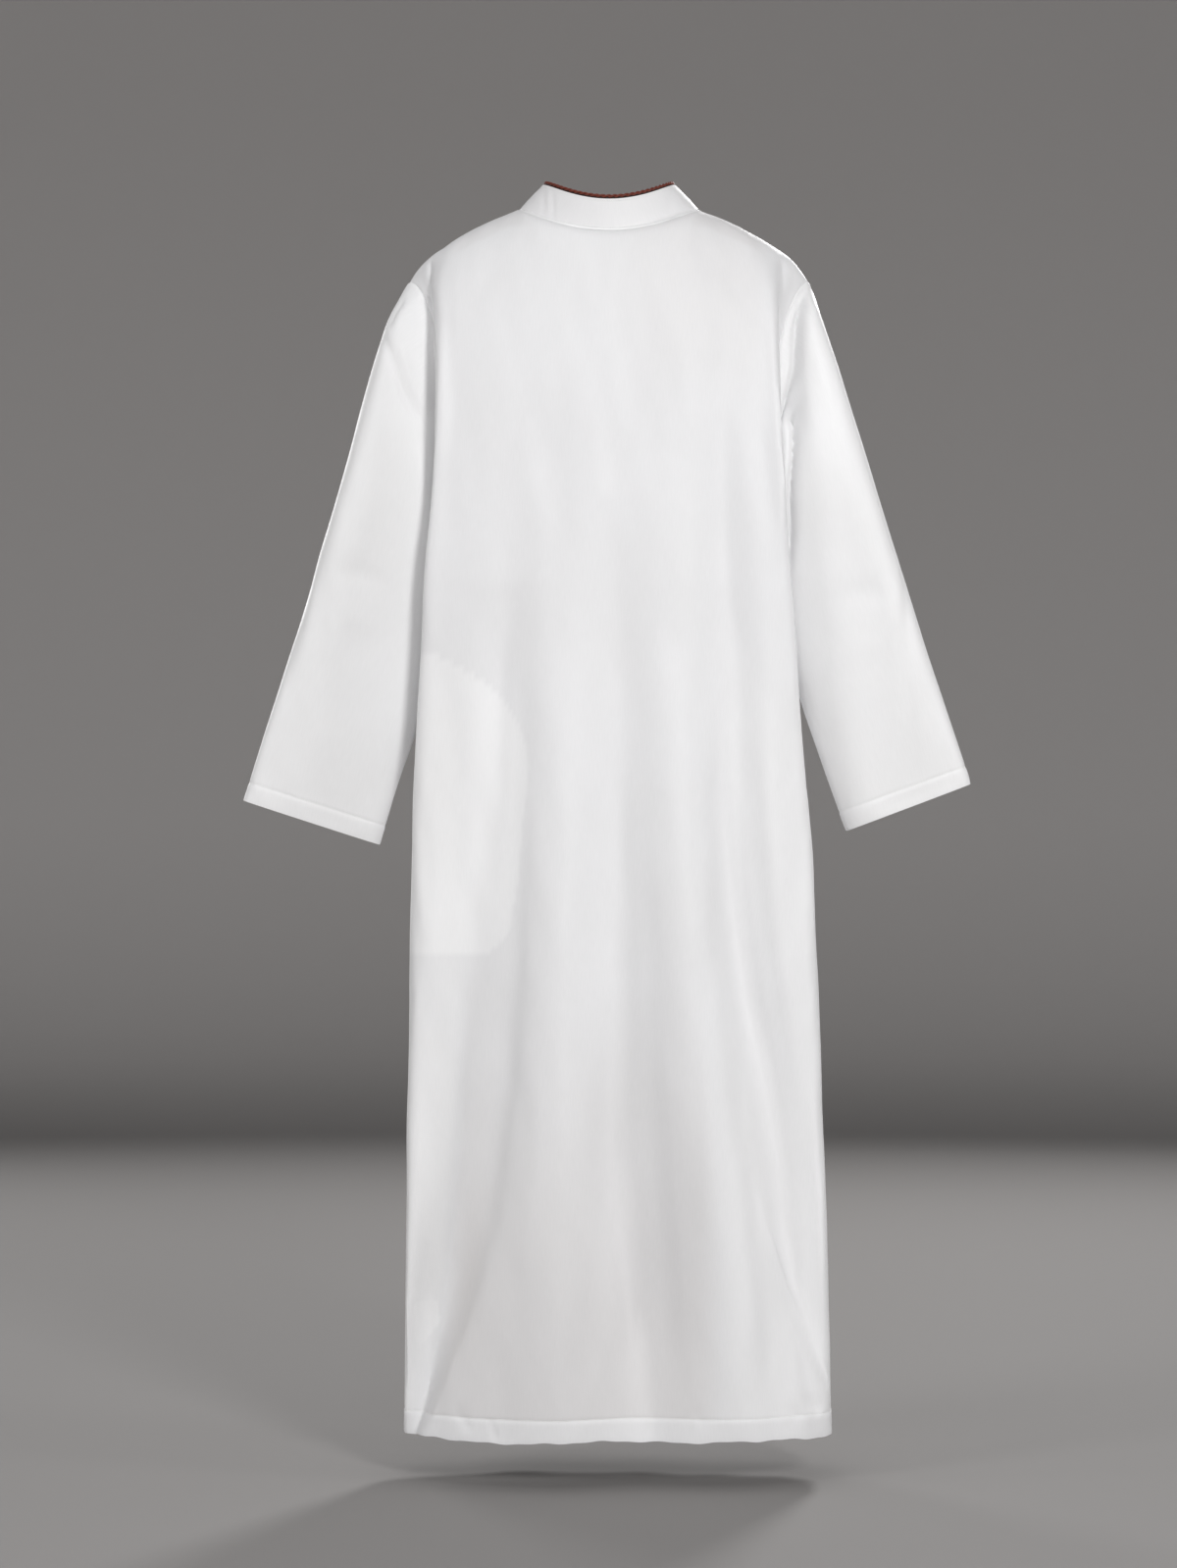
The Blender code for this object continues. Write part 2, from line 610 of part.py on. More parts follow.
def build_pocket_bag(side, back, material):
    """A side pocket's bag, which lies empty against the inside of the back panel."""
    drops = np.linspace(BAG_OUTLINE[0].drop, BAG_OUTLINE[-1].drop, BAG_ROWS)
    outer = []
    inner = []
    for drop in drops:
        row = row_at(back, drop)
        whole = sum(
            np.linalg.norm(on_panel(back, side, row, c + 1)[0] - on_panel(back, side, row, c)[0])
            for c in range(HALF_COLUMNS)
        )
        reaches = np.linspace(SEAM_MARGIN, read(BAG_OUTLINE, "reach", drop), BAG_COLUMNS)
        line = [on_panel(back, side, row, HALF_COLUMNS * (1 - reach / whole)) for reach in reaches]
        outer.append([point - normal * (CLOTH + BAG_GAP) for point, normal in line])
        inner.append([point - normal * (CLOTH + BAG_GAP + BAG_CLOTH) for point, normal in line])
    faces = grid_faces(BAG_ROWS, BAG_COLUMNS)
    if side == LEFT:
        faces = [tuple(reversed(face)) for face in faces]
    wall("pocket_bag_" + SIDE_NAME[side], outer, inner, faces, material)


def build_label(material):
    """The bare care label, caught in the left side seam above the hem."""
    start = read(BODY, "seam_left", LABEL_DROP) - CLOTH - 2 * SEAM_GAP
    run = np.linspace(0.0, LABEL_WIDTH, LABEL_COLUMNS)
    lines = []
    for drop in (LABEL_DROP, LABEL_DROP + LABEL_HEIGHT):
        rise = LABEL_RISE * run / LABEL_WIDTH - drop
        lines.append(np.stack([start - run * math.cos(LABEL_YAW), run * math.sin(LABEL_YAW), rise], axis=1))
    outer = np.array(lines)
    thick = np.array([math.sin(LABEL_YAW), math.cos(LABEL_YAW), 0.0]) * LABEL_CLOTH
    faces = [tuple(reversed(face)) for face in grid_faces(2, LABEL_COLUMNS)]
    wall("care_label", outer + thick, outer, faces, material)


def main():
    for old in list(bpy.data.objects):
        bpy.data.objects.remove(old)
    collection = bpy.data.collections.new("thobe_robe")
    bpy.context.scene.collection.children.link(collection)
    cloth = make_material(WHITE_CLOTH)
    panels = {face: Panel(face) for face in (BACK, FRONT)}
    match_seams(panels[BACK], panels[FRONT])
    for side in (LEFT, RIGHT):
        build_sleeve(side, panels, cloth)
    build_panel(panels[BACK], "back_panel", 0.0, cloth)
    build_panel(panels[FRONT], "front_panel", PLACKET_DROP - HEM_BAND, cloth)
    edge, up = build_collar(cloth)
    build_piping(edge, up, make_material(RUST_CORD))
    button_place = build_placket(panels[FRONT], cloth)
    build_buttons(button_place, make_material(BUTTON_WHITE))
    pocket_cloth = make_material(POCKET_CLOTH)
    for side in (LEFT, RIGHT):
        build_pocket_bag(side, panels[BACK], pocket_cloth)
    build_label(make_material(LABEL_WHITE))


main()
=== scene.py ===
"""Looks of the robe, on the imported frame: thin cloth with its folds, seams and stitches, cord and buttons.

The front faces -Y, the wearer's left is +X and +Z is up. Tables are in millimetres, and a drop is a
distance down from the origin, which is the middle of the neck.
"""
import math
from collections import namedtuple

import bpy
import numpy as np
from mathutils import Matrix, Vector


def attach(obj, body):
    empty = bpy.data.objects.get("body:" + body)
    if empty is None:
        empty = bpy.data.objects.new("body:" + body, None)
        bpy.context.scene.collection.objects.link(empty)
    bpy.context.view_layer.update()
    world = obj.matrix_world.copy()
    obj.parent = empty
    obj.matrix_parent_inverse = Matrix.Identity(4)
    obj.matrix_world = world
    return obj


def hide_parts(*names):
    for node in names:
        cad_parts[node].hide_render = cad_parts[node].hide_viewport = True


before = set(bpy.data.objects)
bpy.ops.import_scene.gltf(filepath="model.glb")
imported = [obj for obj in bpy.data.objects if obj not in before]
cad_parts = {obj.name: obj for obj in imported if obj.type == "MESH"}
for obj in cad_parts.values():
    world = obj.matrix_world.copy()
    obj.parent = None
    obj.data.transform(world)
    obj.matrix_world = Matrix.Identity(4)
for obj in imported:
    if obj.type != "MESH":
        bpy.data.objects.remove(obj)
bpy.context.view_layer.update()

MM = 0.001
LEFT, RIGHT = 1, -1
BACK, FRONT = 1, -1
SIDE_NAME = {LEFT: "left", RIGHT: "right"}
FACE_NAME = {BACK: "back", FRONT: "front"}


def rows_of(kind, *rows):
    """A table, given row by row."""
    return [kind(*row) for row in rows]


# Cloth.
CLOTH = 0.8
TURNED_HEM = 1.7
HEM_BAND = 26.0
CUFF_BAND = 21.0
SEAM_SINK = 0.45
SEAM_GROOVE = 1.6
SEAM_FADE = 10.0
BAND_RISE = 0.4
THREAD = 0.55

# How doubled the cloth looks: 0 is sheer, 0.5 a single layer and 1 a doubled one. The same tone also holds
# painted light and shade.
SINGLE_TONE, ALLOWANCE_TONE = 0.5, 0.62
# The sleeves are set near doubled though they are a single layer, as painted light; the turned cuffs are
# doubled cloth, with painted light too.
SLEEVE_PAINTED_LIGHT, CUFF_DOUBLED_AND_LIT = 0.88, 0.9

# What is added to that or taken from it: the skirt, darker towards the bottom, partly for its sheer cloth
# and partly as painted shade; on the back, painted light on its flanks and painted shade beside the left
# one, painted shade under its shoulder seams and on its right shoulder blade; and where the pocket bags and
# the label show through.
SKIRT_SHEER_AND_SHADE = 0.24
RIGHT_FLANK_LIT, UPPER_LIT, LOWER_LIT, SHADE_BESIDE_LIT = 0.2, 0.22, 0.17, 0.16
SHOULDER_SHADE, BLADE_SHADE = 0.12, 0.14
BAG_SHOWS, RIGHT_BAG_SHARE, LABEL_SHOWS = 0.3, 0.4, 0.4

# Neck, shoulders and armholes.
NECK_HALF_WIDTH = 105.0
NECK_DEPTH = {BACK: 72.0, FRONT: 90.0}
NECK_DROP = {BACK: 30.0, FRONT: 88.0}
NECK_CURVE = {BACK: 2.0, FRONT: 1.5}
FOLD_START = {LEFT: 204.0, RIGHT: 190.0}
TIP_OUT, TIP_DROP = 230.0, 81.0
UNDERARM_OUT, UNDERARM_DROP = 180.0, 290.0
ARMHOLE_DEPTH = {BACK: 46.0, FRONT: 46.0}
ARMHOLE_SCOOP = {BACK: 23.0, FRONT: 25.0}
HEM_DROP = 1402.0
SHOULDER_ROUNDNESS = 2.8

# The shoulder seam.
Shoulder = namedtuple("Shoulder", "out drop")
SHOULDER_LINE = rows_of(
    Shoulder,
    (105, 0), (140, 14), (166, 27), (190, 41), (208, 54), (221, 68), (230, 81),
)

# The body's sections: half widths, how far out the side seams lie, depths, and how its corners are shaped.
Level = namedtuple("Level", "drop left right seam_left seam_right back front corner square")
BODY = rows_of(
    Level,
    (290, 205, 197, 180, 180, 106, 112, 0.72, 2.6), (350, 207, 201, 178, 177, 107, 114, 0.70, 2.6),
    (434, 211, 208, 181, 180, 108, 115, 0.62, 2.6), (520, 215, 215, 193, 193, 109, 115, 0.50, 2.6),
    (603, 220, 221, 215, 215, 110, 114, 0.34, 2.6), (700, 224, 231, 224, 231, 111, 113, 0.20, 2.5),
    (830, 228, 237, 228, 237, 112, 113, 0.14, 2.5), (1000, 231, 244, 231, 244, 113, 114, 0.12, 2.4),
    (1200, 234, 251, 234, 251, 113, 116, 0.12, 2.4), (1402, 236, 256, 236, 256, 111, 118, 0.12, 2.4),
)

# The folds that the solids have too, each by places down its trough.
Fold = namedtuple("Fold", "drop across width depth")
FOLDS = {
    BACK: [
        rows_of(
            Fold,
            (430, 92, 34, 0), (640, 96, 34, 9), (880, 105, 34, 16), (1112, 132, 38, 20),
            (1260, 165, 36, 18), (1402, 206, 26, 9),
        ),
        rows_of(
            Fold,
            (330, -30, 34, 0), (600, -32, 32, 8), (886, -48, 34, 15), (1112, -54, 38, 19),
            (1259, -72, 40, 18), (1402, -68, 44, 11),
        ),
        rows_of(
            Fold,
            (430, -128, 30, 0), (716, -158, 28, 8), (976, -192, 30, 9), (1150, -212, 28, 7),
            (1402, -224, 26, 0),
        ),
        rows_of(Fold, (500, 36, 36, 0), (900, 38, 38, -6), (1200, 40, 44, -9), (1402, 46, 50, -6)),
        rows_of(Fold, (500, -90, 30, 0), (886, -118, 34, -7), (1112, -150, 34, -9), (1402, -182, 34, -5)),
    ],
    FRONT: [
        rows_of(
            Fold,
            (380, 78, 36, 0), (700, 84, 36, 9), (1000, 98, 40, 15), (1250, 122, 42, 19),
            (1402, 140, 44, 13),
        ),
        rows_of(Fold, (300, -58, 34, 0), (620, -66, 36, 8), (950, -84, 40, 14), (1402, -116, 46, 16)),
        rows_of(Fold, (800, 12, 34, 0), (1060, 6, 38, 8), (1402, -4, 46, 11)),
        rows_of(Fold, (600, 170, 28, 0), (1000, 188, 26, 6), (1402, 204, 26, 5)),
        rows_of(Fold, (700, -150, 30, 0), (1100, -178, 30, 7), (1402, -196, 30, 8)),
    ],
}

# Folds that the solids leave out.
SOFT_FOLDS = {
    BACK: [
        rows_of(
            Fold,
            (1080, 168, 22, 0), (1180, 174, 22, 6), (1260, 190, 22, 10), (1338, 214, 22, 8),
            (1380, 222, 24, 3), (1402, 226, 24, 0),
        ),
        rows_of(
            Fold,
            (170, -116, 24, 0), (340, -124, 28, 10), (547, -146, 28, 16), (716, -153, 24, 18),
            (886, -171, 22, 20), (999, -193, 20, 20), (1112, -208, 18, 17), (1200, -214, 16, 14),
            (1300, -226, 14, 9), (1380, -236, 12, 0),
        ),
        rows_of(
            Fold,
            (210, 100, 26, 0), (420, 110, 26, 5), (547, 116, 24, 8), (700, 118, 24, 3), (800, 120, 24, 0),
        ),
        rows_of(
            Fold,
            (900, -44, 34, 0), (1150, -46, 34, 6), (1260, -42, 28, 9), (1340, -40, 26, 4),
            (1402, -40, 26, 0),
        ),
    ],
    FRONT: [],
}

# How far the flanks of the back stand out straight behind, before they turn in at the side folds.
Flank = namedtuple("Flank", "drop across width lift")
FLANKS = {
    LEFT: rows_of(
        Flank,
        (60, 200, 14, 0), (110, 204, 15, 11), (230, 205, 16, 14), (330, 208, 17, 11), (434, 212, 18, 11),
        (700, 225, 22, 15), (1000, 235, 26, 24), (1112, 237, 27, 27), (1225, 239, 24, 26),
        (1340, 240, 20, 12), (1402, 241, 18, 4),
    ),
    RIGHT: rows_of(
        Flank,
        (60, 188, 12, 0), (110, 191, 13, 6), (230, 194, 14, 8), (434, 208, 16, 8), (700, 233, 16, 18),
        (1000, 247, 17, 21), (1200, 253, 16, 19), (1402, 258, 13, 9),
    ),
}
FLANK_TUCK = {LEFT: 5.0, RIGHT: 0.0}

# The inner edge of the part of the left flank that is painted lighter: painted light.
Edge = namedtuple("Edge", "drop across")
LIT_FLANK = rows_of(Edge, (480, 176), (1112, 178), (1225, 188), (1300, 203), (1350, 217), (1402, 230))

# The sharp fold between the back and each sleeve's head.
FoldLine = namedtuple("FoldLine", "across start end width depth")
FOLD_LINES = {
    LEFT: rows_of(FoldLine, (203.5, 44, 160, 4.4, 7.5)),
    RIGHT: rows_of(FoldLine, (198.0, 48, 120, 4.6, 4.5)),
}

# How a fold is drawn here: its trough lies further round than the solid's, with a long and a short side.
FOLD_SHIFT = {BACK: 20.0, FRONT: 0.0}
FOLD_LONG_SIDE, FOLD_SHORT_SIDE = 1.35, 1.0
FOLD_DEEPENING = 1.6
FOLD_FADE = 40.0

# Each sleeve's outer and inner edge, how deep it is and how far it hangs forward, by the share of its
# length from the armhole to the cuff.
Ring = namedtuple("Ring", "along outer outer_drop inner inner_drop depth forward")
SLEEVES = {
    LEFT: rows_of(
        Ring,
        (0.00, 230, 81, 180, 290, 92, -1), (0.06, 241, 99, 183, 294, 98, -1),
        (0.12, 253, 123, 185, 300, 104, -1), (0.20, 266, 164, 187, 310, 112, -1),
        (0.30, 285, 230, 188, 330, 120, 0), (0.40, 305, 300, 188, 370, 120, 2),
        (0.52, 329, 380, 190, 430, 110, 5), (0.64, 352, 460, 197, 502, 96, 8),
        (0.76, 376, 536, 216, 580, 82, 11), (0.88, 399, 606, 242, 654, 66, 14),
        (1.00, 422, 678, 265, 729, 50, 17),
    ),
    RIGHT: rows_of(
        Ring,
        (0.00, 230, 81, 180, 290, 92, -1), (0.06, 238, 99, 183, 294, 98, -1),
        (0.12, 245, 123, 185, 300, 104, -1), (0.20, 258, 164, 187, 310, 112, -1),
        (0.30, 279, 230, 188, 330, 120, 0), (0.40, 300, 296, 188, 366, 120, 2),
        (0.52, 324, 374, 191, 424, 110, 5), (0.64, 348, 450, 200, 490, 96, 8),
        (0.76, 371, 523, 223, 568, 82, 11), (0.88, 394, 592, 248, 640, 66, 14),
        (1.00, 417, 659, 274, 713, 50, 17),
    ),
}

# Creases, each a line across the cloth from one point to another: its width, how far it sinks (a ridge
# rises, with a depth below zero), how far it bows sideways, and how sharp its bottom is (2 is round, 1 is
# a fold).
Crease = namedtuple("Crease", "across drop to_across to_drop width depth bow sharp")
CREASES = {
    BACK: rows_of(
        Crease,
        (-170, 1104, -284, 1430, 8, -7.5, -8, 1.1), (66, 190, 60, 560, 18, 1.8, 4, 2.0),
        (-134, 96, -140, 450, 18, 2.4, -3, 2.0), (-184, 40, -196, 430, 6, -3.4, 2, 1.3),
        (96, 44, 168, 150, 12, 0.9, -9, 1.8), (-92, 44, -160, 140, 12, 0.9, 9, 1.8),
        (18, 300, 12, 690, 14, -0.8, 5, 2.0), (128, 470, 148, 900, 13, -1.2, 6, 1.9),
        (150, 720, 186, 1120, 12, 1.2, 7, 1.9), (-6, 760, 0, 1180, 14, 0.9, 5, 2.0),
        (76, 930, 96, 1250, 12, -1.2, 5, 1.8), (-100, 900, -104, 1240, 12, 0.8, -5, 1.9),
        (20, 1150, 34, 1376, 13, 0.9, 5, 1.9), (171, 1366, 156, 1392, 4, 1.4, 0, 1.4),
        (134, 1372, 127, 1402, 3, 1.7, 0, 1.4), (-96, 1364, -108, 1386, 4, 1.3, 0, 1.4),
        (-214, 1356, -246, 1374, 4, 1.6, 0, 1.4), (-196, 1364, -224, 1380, 4, 1.0, 0, 1.4),
        (196, 560, 206, 1000, 12, -1.2, 3, 1.9), (-212, 620, -226, 1010, 11, -1.2, -3, 1.9),
    ),
    FRONT: rows_of(
        Crease,
        (168, 120, 186, 440, 13, -2.4, 3, 1.8), (-160, 110, -188, 420, 12, -2.6, -3, 1.7),
        (120, 150, 104, 470, 16, 2.2, 4, 2.0), (-112, 130, -96, 440, 17, 2.4, -5, 2.0),
        (44, 130, 88, 300, 11, 1.3, -7, 1.8), (-46, 128, -84, 280, 11, 1.2, 6, 1.8),
        (88, 56, 150, 160, 12, 1.1, -8, 1.8), (-90, 52, -146, 150, 12, 1.2, 8, 1.8),
        (20, 486, 52, 760, 12, -1.7, -7, 1.7), (-20, 488, -44, 720, 12, -1.5, 6, 1.7),
        (2, 500, -6, 800, 13, 1.8, 4, 1.9), (134, 520, 150, 930, 12, -1.6, 6, 1.8),
        (-124, 560, -142, 960, 12, -1.5, -6, 1.8), (52, 800, 46, 1180, 12, -1.6, -5, 1.8),
        (-34, 860, -50, 1220, 11, -1.4, 5, 1.8), (110, 960, 130, 1300, 11, 1.6, 5, 1.7),
        (-128, 980, -150, 1330, 12, 1.4, -5, 1.8), (172, 1000, 190, 1330, 10, -1.8, 4, 1.6),
        (-206, 940, -228, 1340, 10, -1.8, -4, 1.6), (30, 1180, 44, 1376, 11, 1.3, 4, 1.8),
        (-84, 1190, -70, 1376, 11, -1.4, -4, 1.8), (76, 1300, 84, 1384, 7, 1.2, 1, 1.5),
        (-30, 1320, -26, 1380, 6, 1.0, 1, 1.5), (-160, 1316, -170, 1384, 6, 1.2, -1, 1.4),
        (184, 1310, 200, 1384, 7, 1.3, 2, 1.5), (206, 600, 214, 980, 10, -1.5, 3, 1.8),
    ),
}

# The same on the sleeves, where across is measured round the sleeve from its outer edge (+ over the back,
# - over the front) and the drop is measured along it from the armhole.
SLEEVE_CREASES = {
    LEFT: rows_of(
        Crease,
        (18, 18, 40, 62, 8, 3.0, 0, 1.7), (14, 78, 168, 52, 7, 3.4, 0, 1.4),
        (44, 54, 164, 36, 9, -2.4, 0, 1.5), (110, 110, 104, 330, 15, 1.6, 3, 1.8),
        (52, 230, 70, 420, 15, -1.5, -4, 1.9), (104, 280, 92, 470, 13, 1.8, 4, 1.8),
        (22, 330, 40, 520, 13, 1.1, 3, 1.9), (80, 430, 74, 590, 12, -1.2, 3, 1.8),
        (120, 250, 60, 330, 8, 1.6, 6, 1.6), (124, 300, 78, 352, 8, -1.2, 5, 1.7),
        (40, 548, 46, 600, 7, 0.8, 1, 1.6), (98, 552, 94, 604, 7, 0.9, 1, 1.6),
        (-10, 20, -34, 140, 10, 2.4, 3, 1.6), (-34, 30, -70, 220, 12, -2.0, -4, 1.7),
        (-96, 60, -100, 320, 14, 2.4, -3, 1.8), (-60, 260, -56, 450, 13, -1.5, 4, 1.8),
        (-120, 270, -54, 350, 8, 1.8, 5, 1.6), (-118, 320, -66, 386, 8, -1.4, 5, 1.7),
        (-36, 420, -48, 580, 12, 1.2, -3, 1.8),
    ),
    RIGHT: rows_of(
        Crease,
        (-14, -4, 200, 38, 8, 9.0, 0, 1.4), (146, 8, 166, 190, 9, 7.5, 0, 1.5),
        (104, 110, 104, 330, 14, 1.4, 3, 1.8), (58, 210, 66, 420, 15, -1.3, 5, 1.9),
        (18, 330, 82, 520, 10, 1.3, -5, 1.7), (34, 320, 98, 500, 9, -1.0, -5, 1.8),
        (112, 270, 62, 350, 8, 1.5, 5, 1.6), (118, 320, 80, 380, 8, -1.2, 4, 1.7),
        (96, 430, 88, 590, 12, 1.1, 3, 1.8), (36, 540, 40, 590, 7, 0.8, 1, 1.6),
        (-8, 18, -40, 150, 10, 2.6, 3, 1.6), (-40, 40, -66, 240, 12, -2.0, -4, 1.7),
        (-98, 60, -98, 330, 14, 2.2, -3, 1.8), (-56, 280, -62, 470, 13, -1.4, -4, 1.8),
        (-122, 280, -58, 356, 8, 1.7, 5, 1.6), (-40, 400, -52, 570, 12, 1.1, 3, 1.8),
    ),
}

# Collar, cord, placket and buttons.
COLLAR_CLOTH = 2.2
COLLAR_TOP_HALF_WIDTH = 76.0
COLLAR_TOP_DEPTH = {BACK: 66.0, FRONT: 74.0}
COLLAR_TOP_SIDE = 31.0
COLLAR_TOP_DROP = {BACK: -7.0, FRONT: 56.0}
COLLAR_END_GAP = 3.0
COLLAR_SWELL = 0.7
COLLAR_STEPS = 84
COLLAR_FOOT_STITCH = 3.2
COLLAR_TOP_STITCH = 2.6

# Where each upright crease of the collar is, its width and its depth.
COLLAR_CREASES = [
    (64, 3.0, 1.0), (74, 3.2, 0.8), (69, 3, -0.3), (-44, 6, 0.3), (-8, 24, 0.6), (24, 7, 0.3),
    (-70, 5, 0.4),
]

CORD_DIAMETER = 4.0
CORD_RISE = 3.0
CORD_PITCH = 7.6
TAPE_HEIGHT = 2.0
PLACKET_HALF_WIDTH = 17.0
PLACKET_CLOTH = 1.2
PLACKET_GAP = 0.9
PLACKET_DROP = 480.0
PLACKET_STITCH = 2.4
SLIT_WIDTH = 1.0
BUTTON_DROPS = (128.0, 224.0, 320.0, 416.0)
BUTTON_SEAT = 0.35

# A button's outline, from the middle of its top to the middle of its foot.
Turning = namedtuple("Turning", "radius height")
BUTTON_PROFILE = rows_of(
    Turning,
    (0, 1.7), (2.6, 1.72), (3.7, 1.95), (4.25, 2.45), (4.7, 2.6), (5.15, 2.5), (5.6, 2.1), (5.75, 1.6),
    (5.7, 1.1), (5.3, 0.5), (4.6, 0.15), (0, 0),
)
BUTTON_HOLE_OUT = 1.25
BUTTON_HOLE_RADIUS = 0.62

# Pocket bags and label. A reach is measured round the cloth from the side seam.
BAG_GAP = 2.6
BAG_CLOTH = 1.4
SEAM_MARGIN = 6.0
Bag = namedtuple("Bag", "drop reach")
BAG_OUTLINE = rows_of(
    Bag,
    (508, 92), (524, 122), (548, 158), (598, 190), (716, 188), (800, 180), (840, 168), (854, 150),
)
BAG_ROWS = 64
BAG_COLUMNS = 34
BAG_RIM = np.array([6.5, 5.6, 5.0, 4.4, 2.5, 0.0])
POCKET_MOUTH = (566.0, 724.0)
LABEL_DROP = 1256.0
LABEL_HEIGHT = 45.0
LABEL_WIDTH = 34.0
LABEL_RISE = 9.0
LABEL_YAW = math.radians(32.0)
LABEL_CLOTH = 0.5
LABEL_PATCH = [(219, 1301), (193, 1275), (197, 1250), (221, 1255)]

# How finely the cloth is divided. The shares run from the middle of a panel to its side seam, or from the
# shoulder seam to the underarm, and are closest together at the seams.
NECK_COLUMNS, SHOULDER_COLUMNS, CORNER_COLUMNS = 34, 24, 20
NECK_SHARE, CORNER_SHARE = 7 / 16, 12 / 16
CORNER_STEPS = np.concatenate([np.linspace(0, 1, CORNER_COLUMNS - 1)[:-1], [0.972, 0.988, 1.0]])[1:]
SHARES = np.concatenate([
    np.linspace(0, NECK_SHARE, NECK_COLUMNS + 1),
    np.linspace(NECK_SHARE, CORNER_SHARE, SHOULDER_COLUMNS + 1)[1:],
    CORNER_SHARE + (1 - CORNER_SHARE) * CORNER_STEPS,
])
COLUMNS = len(SHARES)
SMOOTHED = NECK_COLUMNS + 15
FINER = (NECK_COLUMNS / 7) ** 2
UPPER_ROWS = 56
UPPER_SHARES = np.linspace(0, 1, UPPER_ROWS + 1) ** 1.45
HEM_STITCH = HEM_DROP - HEM_BAND
LOWER_DROPS = np.concatenate([
    np.linspace(UNDERARM_DROP, HEM_STITCH - 5, 150),
    HEM_STITCH + np.array([-2.4, -1.0, 0.0, 1.0, 2.6, 6.5, 11.0, 16.0, 20.5, 24.2, 26.0]),
])
SLEEVE_RINGS = 96
CUFF_RINGS = np.array([-2.2, -0.9, 0.0, 0.9, 2.4, 6.0, 10.0, 14.5, 18.5, 21.0])
SLEEVE_SQUARENESS = {LEFT: 0.46, RIGHT: 0.52}
DENSE = 400

# What starts each draw of ripples and puckers.
PANEL_SEED, HEM_SEED, SLEEVE_SEED, CUFF_SEED = 11, 5, 31, 47


# ---------------------------------------------------------------------------- curves and sections


def read(table, name, at):
    """A column of a table at one value of its first column, on a smooth curve through the rows."""
    keys = np.array([row[0] for row in table], float)
    values = np.array([getattr(row, name) for row in table], float)
    slopes = np.gradient(values, keys)
    at = min(max(at, keys[0]), keys[-1])
    i = int(np.clip(np.searchsorted(keys, at) - 1, 0, len(keys) - 2))
    span = keys[i + 1] - keys[i]
    t = (at - keys[i]) / span
    start = values[i] * (1 + 2 * t) * (1 - t) ** 2 + slopes[i] * span * t * (1 - t) ** 2
    end = values[i + 1] * t * t * (3 - 2 * t) + slopes[i + 1] * span * t * t * (t - 1)
    return start + end


def read_all(rows, name, keys):
    """A column of a table at each of several values of its first column."""
    return np.array([read(rows, name, key) for key in keys])


def unit(vectors):
    return vectors / np.maximum(np.linalg.norm(vectors, axis=-1, keepdims=True), 1e-9)


def smooth(x):
    """0 below 0, 1 above 1, and a soft step between."""
    x = np.clip(x, 0.0, 1.0)
    return x * x * (3 - 2 * x)


def rise(x, start, run):
    """0 up to the start, 1 from the end of the run after it, and a soft step between."""
    return smooth((x - start) / run)


def bell(off, width=1):
    """1 in the middle, falling to nothing at about twice the width to either side."""
    return np.exp(-((off / width) ** 2))


def full_turn(count):
    """Even angles all the way round."""
    return np.linspace(0, 2 * math.pi, count, endpoint=False)


def lengths(points, axis):
    """How far each point of a line or grid is along it."""
    steps = np.linalg.norm(np.diff(points, axis=axis), axis=-1)
    start = np.zeros_like(np.take(steps, [0], axis=axis))
    return np.concatenate([start, np.cumsum(steps, axis=axis)], axis=axis)


def folded(points, face, drop):
    """A section's points, moved in and out of the cloth by the folds that cross its height."""
    tangents = unit(np.gradient(points, axis=0))
    outward = np.stack([-tangents[:, 1], tangents[:, 0]], axis=1)
    outward *= np.sign((outward * points).sum(axis=1).mean())
    sink = np.zeros(len(points))
    for rows in FOLDS[face]:
        if rows[0].drop < drop:
            across, width, depth = (read(rows, name, drop) for name in ("across", "width", "depth"))
            sink += depth * bell(points[:, 0] - across, width)
    fade = np.clip(np.abs(points[:, 1]) / FOLD_FADE, 0.0, 1.0)
    return points - outward * (sink * fade)[:, None]


def quarter(side, face, drop):
    """Points on one quarter of the body's section, from its middle to the side seam."""
    half = read(BODY, SIDE_NAME[side], drop)
    seam = read(BODY, "seam_" + SIDE_NAME[side], drop)
    depth = read(BODY, FACE_NAME[face], drop)
    corner = read(BODY, "corner", drop) * depth
    power = 2.0 / read(BODY, "square", drop)
    turn = np.linspace(0.0, math.pi / 2, DENSE)
    run = np.linspace(0.0, 1.0, DENSE)[1:]
    hollow = ((1 + np.cos(math.pi * run)) / 2) ** 2
    out = np.concatenate([half * np.sin(turn) ** power, seam + (half - seam) * hollow])
    deep = np.concatenate([corner + (depth - corner) * np.cos(turn) ** power, corner * (1 - run)])
    points = folded(np.stack([side * out, face * deep], axis=1), face, drop)
    length = lengths(points, 0)
    flat = np.stack([np.interp(SHARES * length[-1], length, points[:, k]) for k in (0, 1)], axis=1)
    return np.column_stack([flat, np.full(len(flat), -drop)])


def neck_curve(side, face, half_width, depths, drops, side_rise, steps):
    """A quarter of a ring round the neck, from the middle to the side, which stands side_rise up."""
    turn = np.linspace(0.0, math.pi / 2, steps + 1)
    fall = np.maximum(np.cos(turn), 0.0) ** NECK_CURVE[face]
    return np.stack([
        side * half_width * np.sin(turn),
        face * depths[face] * np.cos(turn),
        side_rise - (drops[face] + side_rise) * fall,
    ], axis=1)


def top_edge(side, face):
    """The neckline and then the shoulder seam, out to the tip of the shoulder."""
    neck = neck_curve(side, face, NECK_HALF_WIDTH, NECK_DEPTH, NECK_DROP, 0.0, NECK_COLUMNS)
    fold = FOLD_START[side]
    out = np.concatenate([
        np.linspace(NECK_HALF_WIDTH, fold, SHOULDER_COLUMNS + 1)[1:],
        fold + (TIP_OUT - fold) * CORNER_STEPS,
    ])
    drops = read_all(SHOULDER_LINE, "drop", out)
    return np.concatenate([neck, np.stack([side * out, np.zeros(len(out)), -drops], axis=1)])


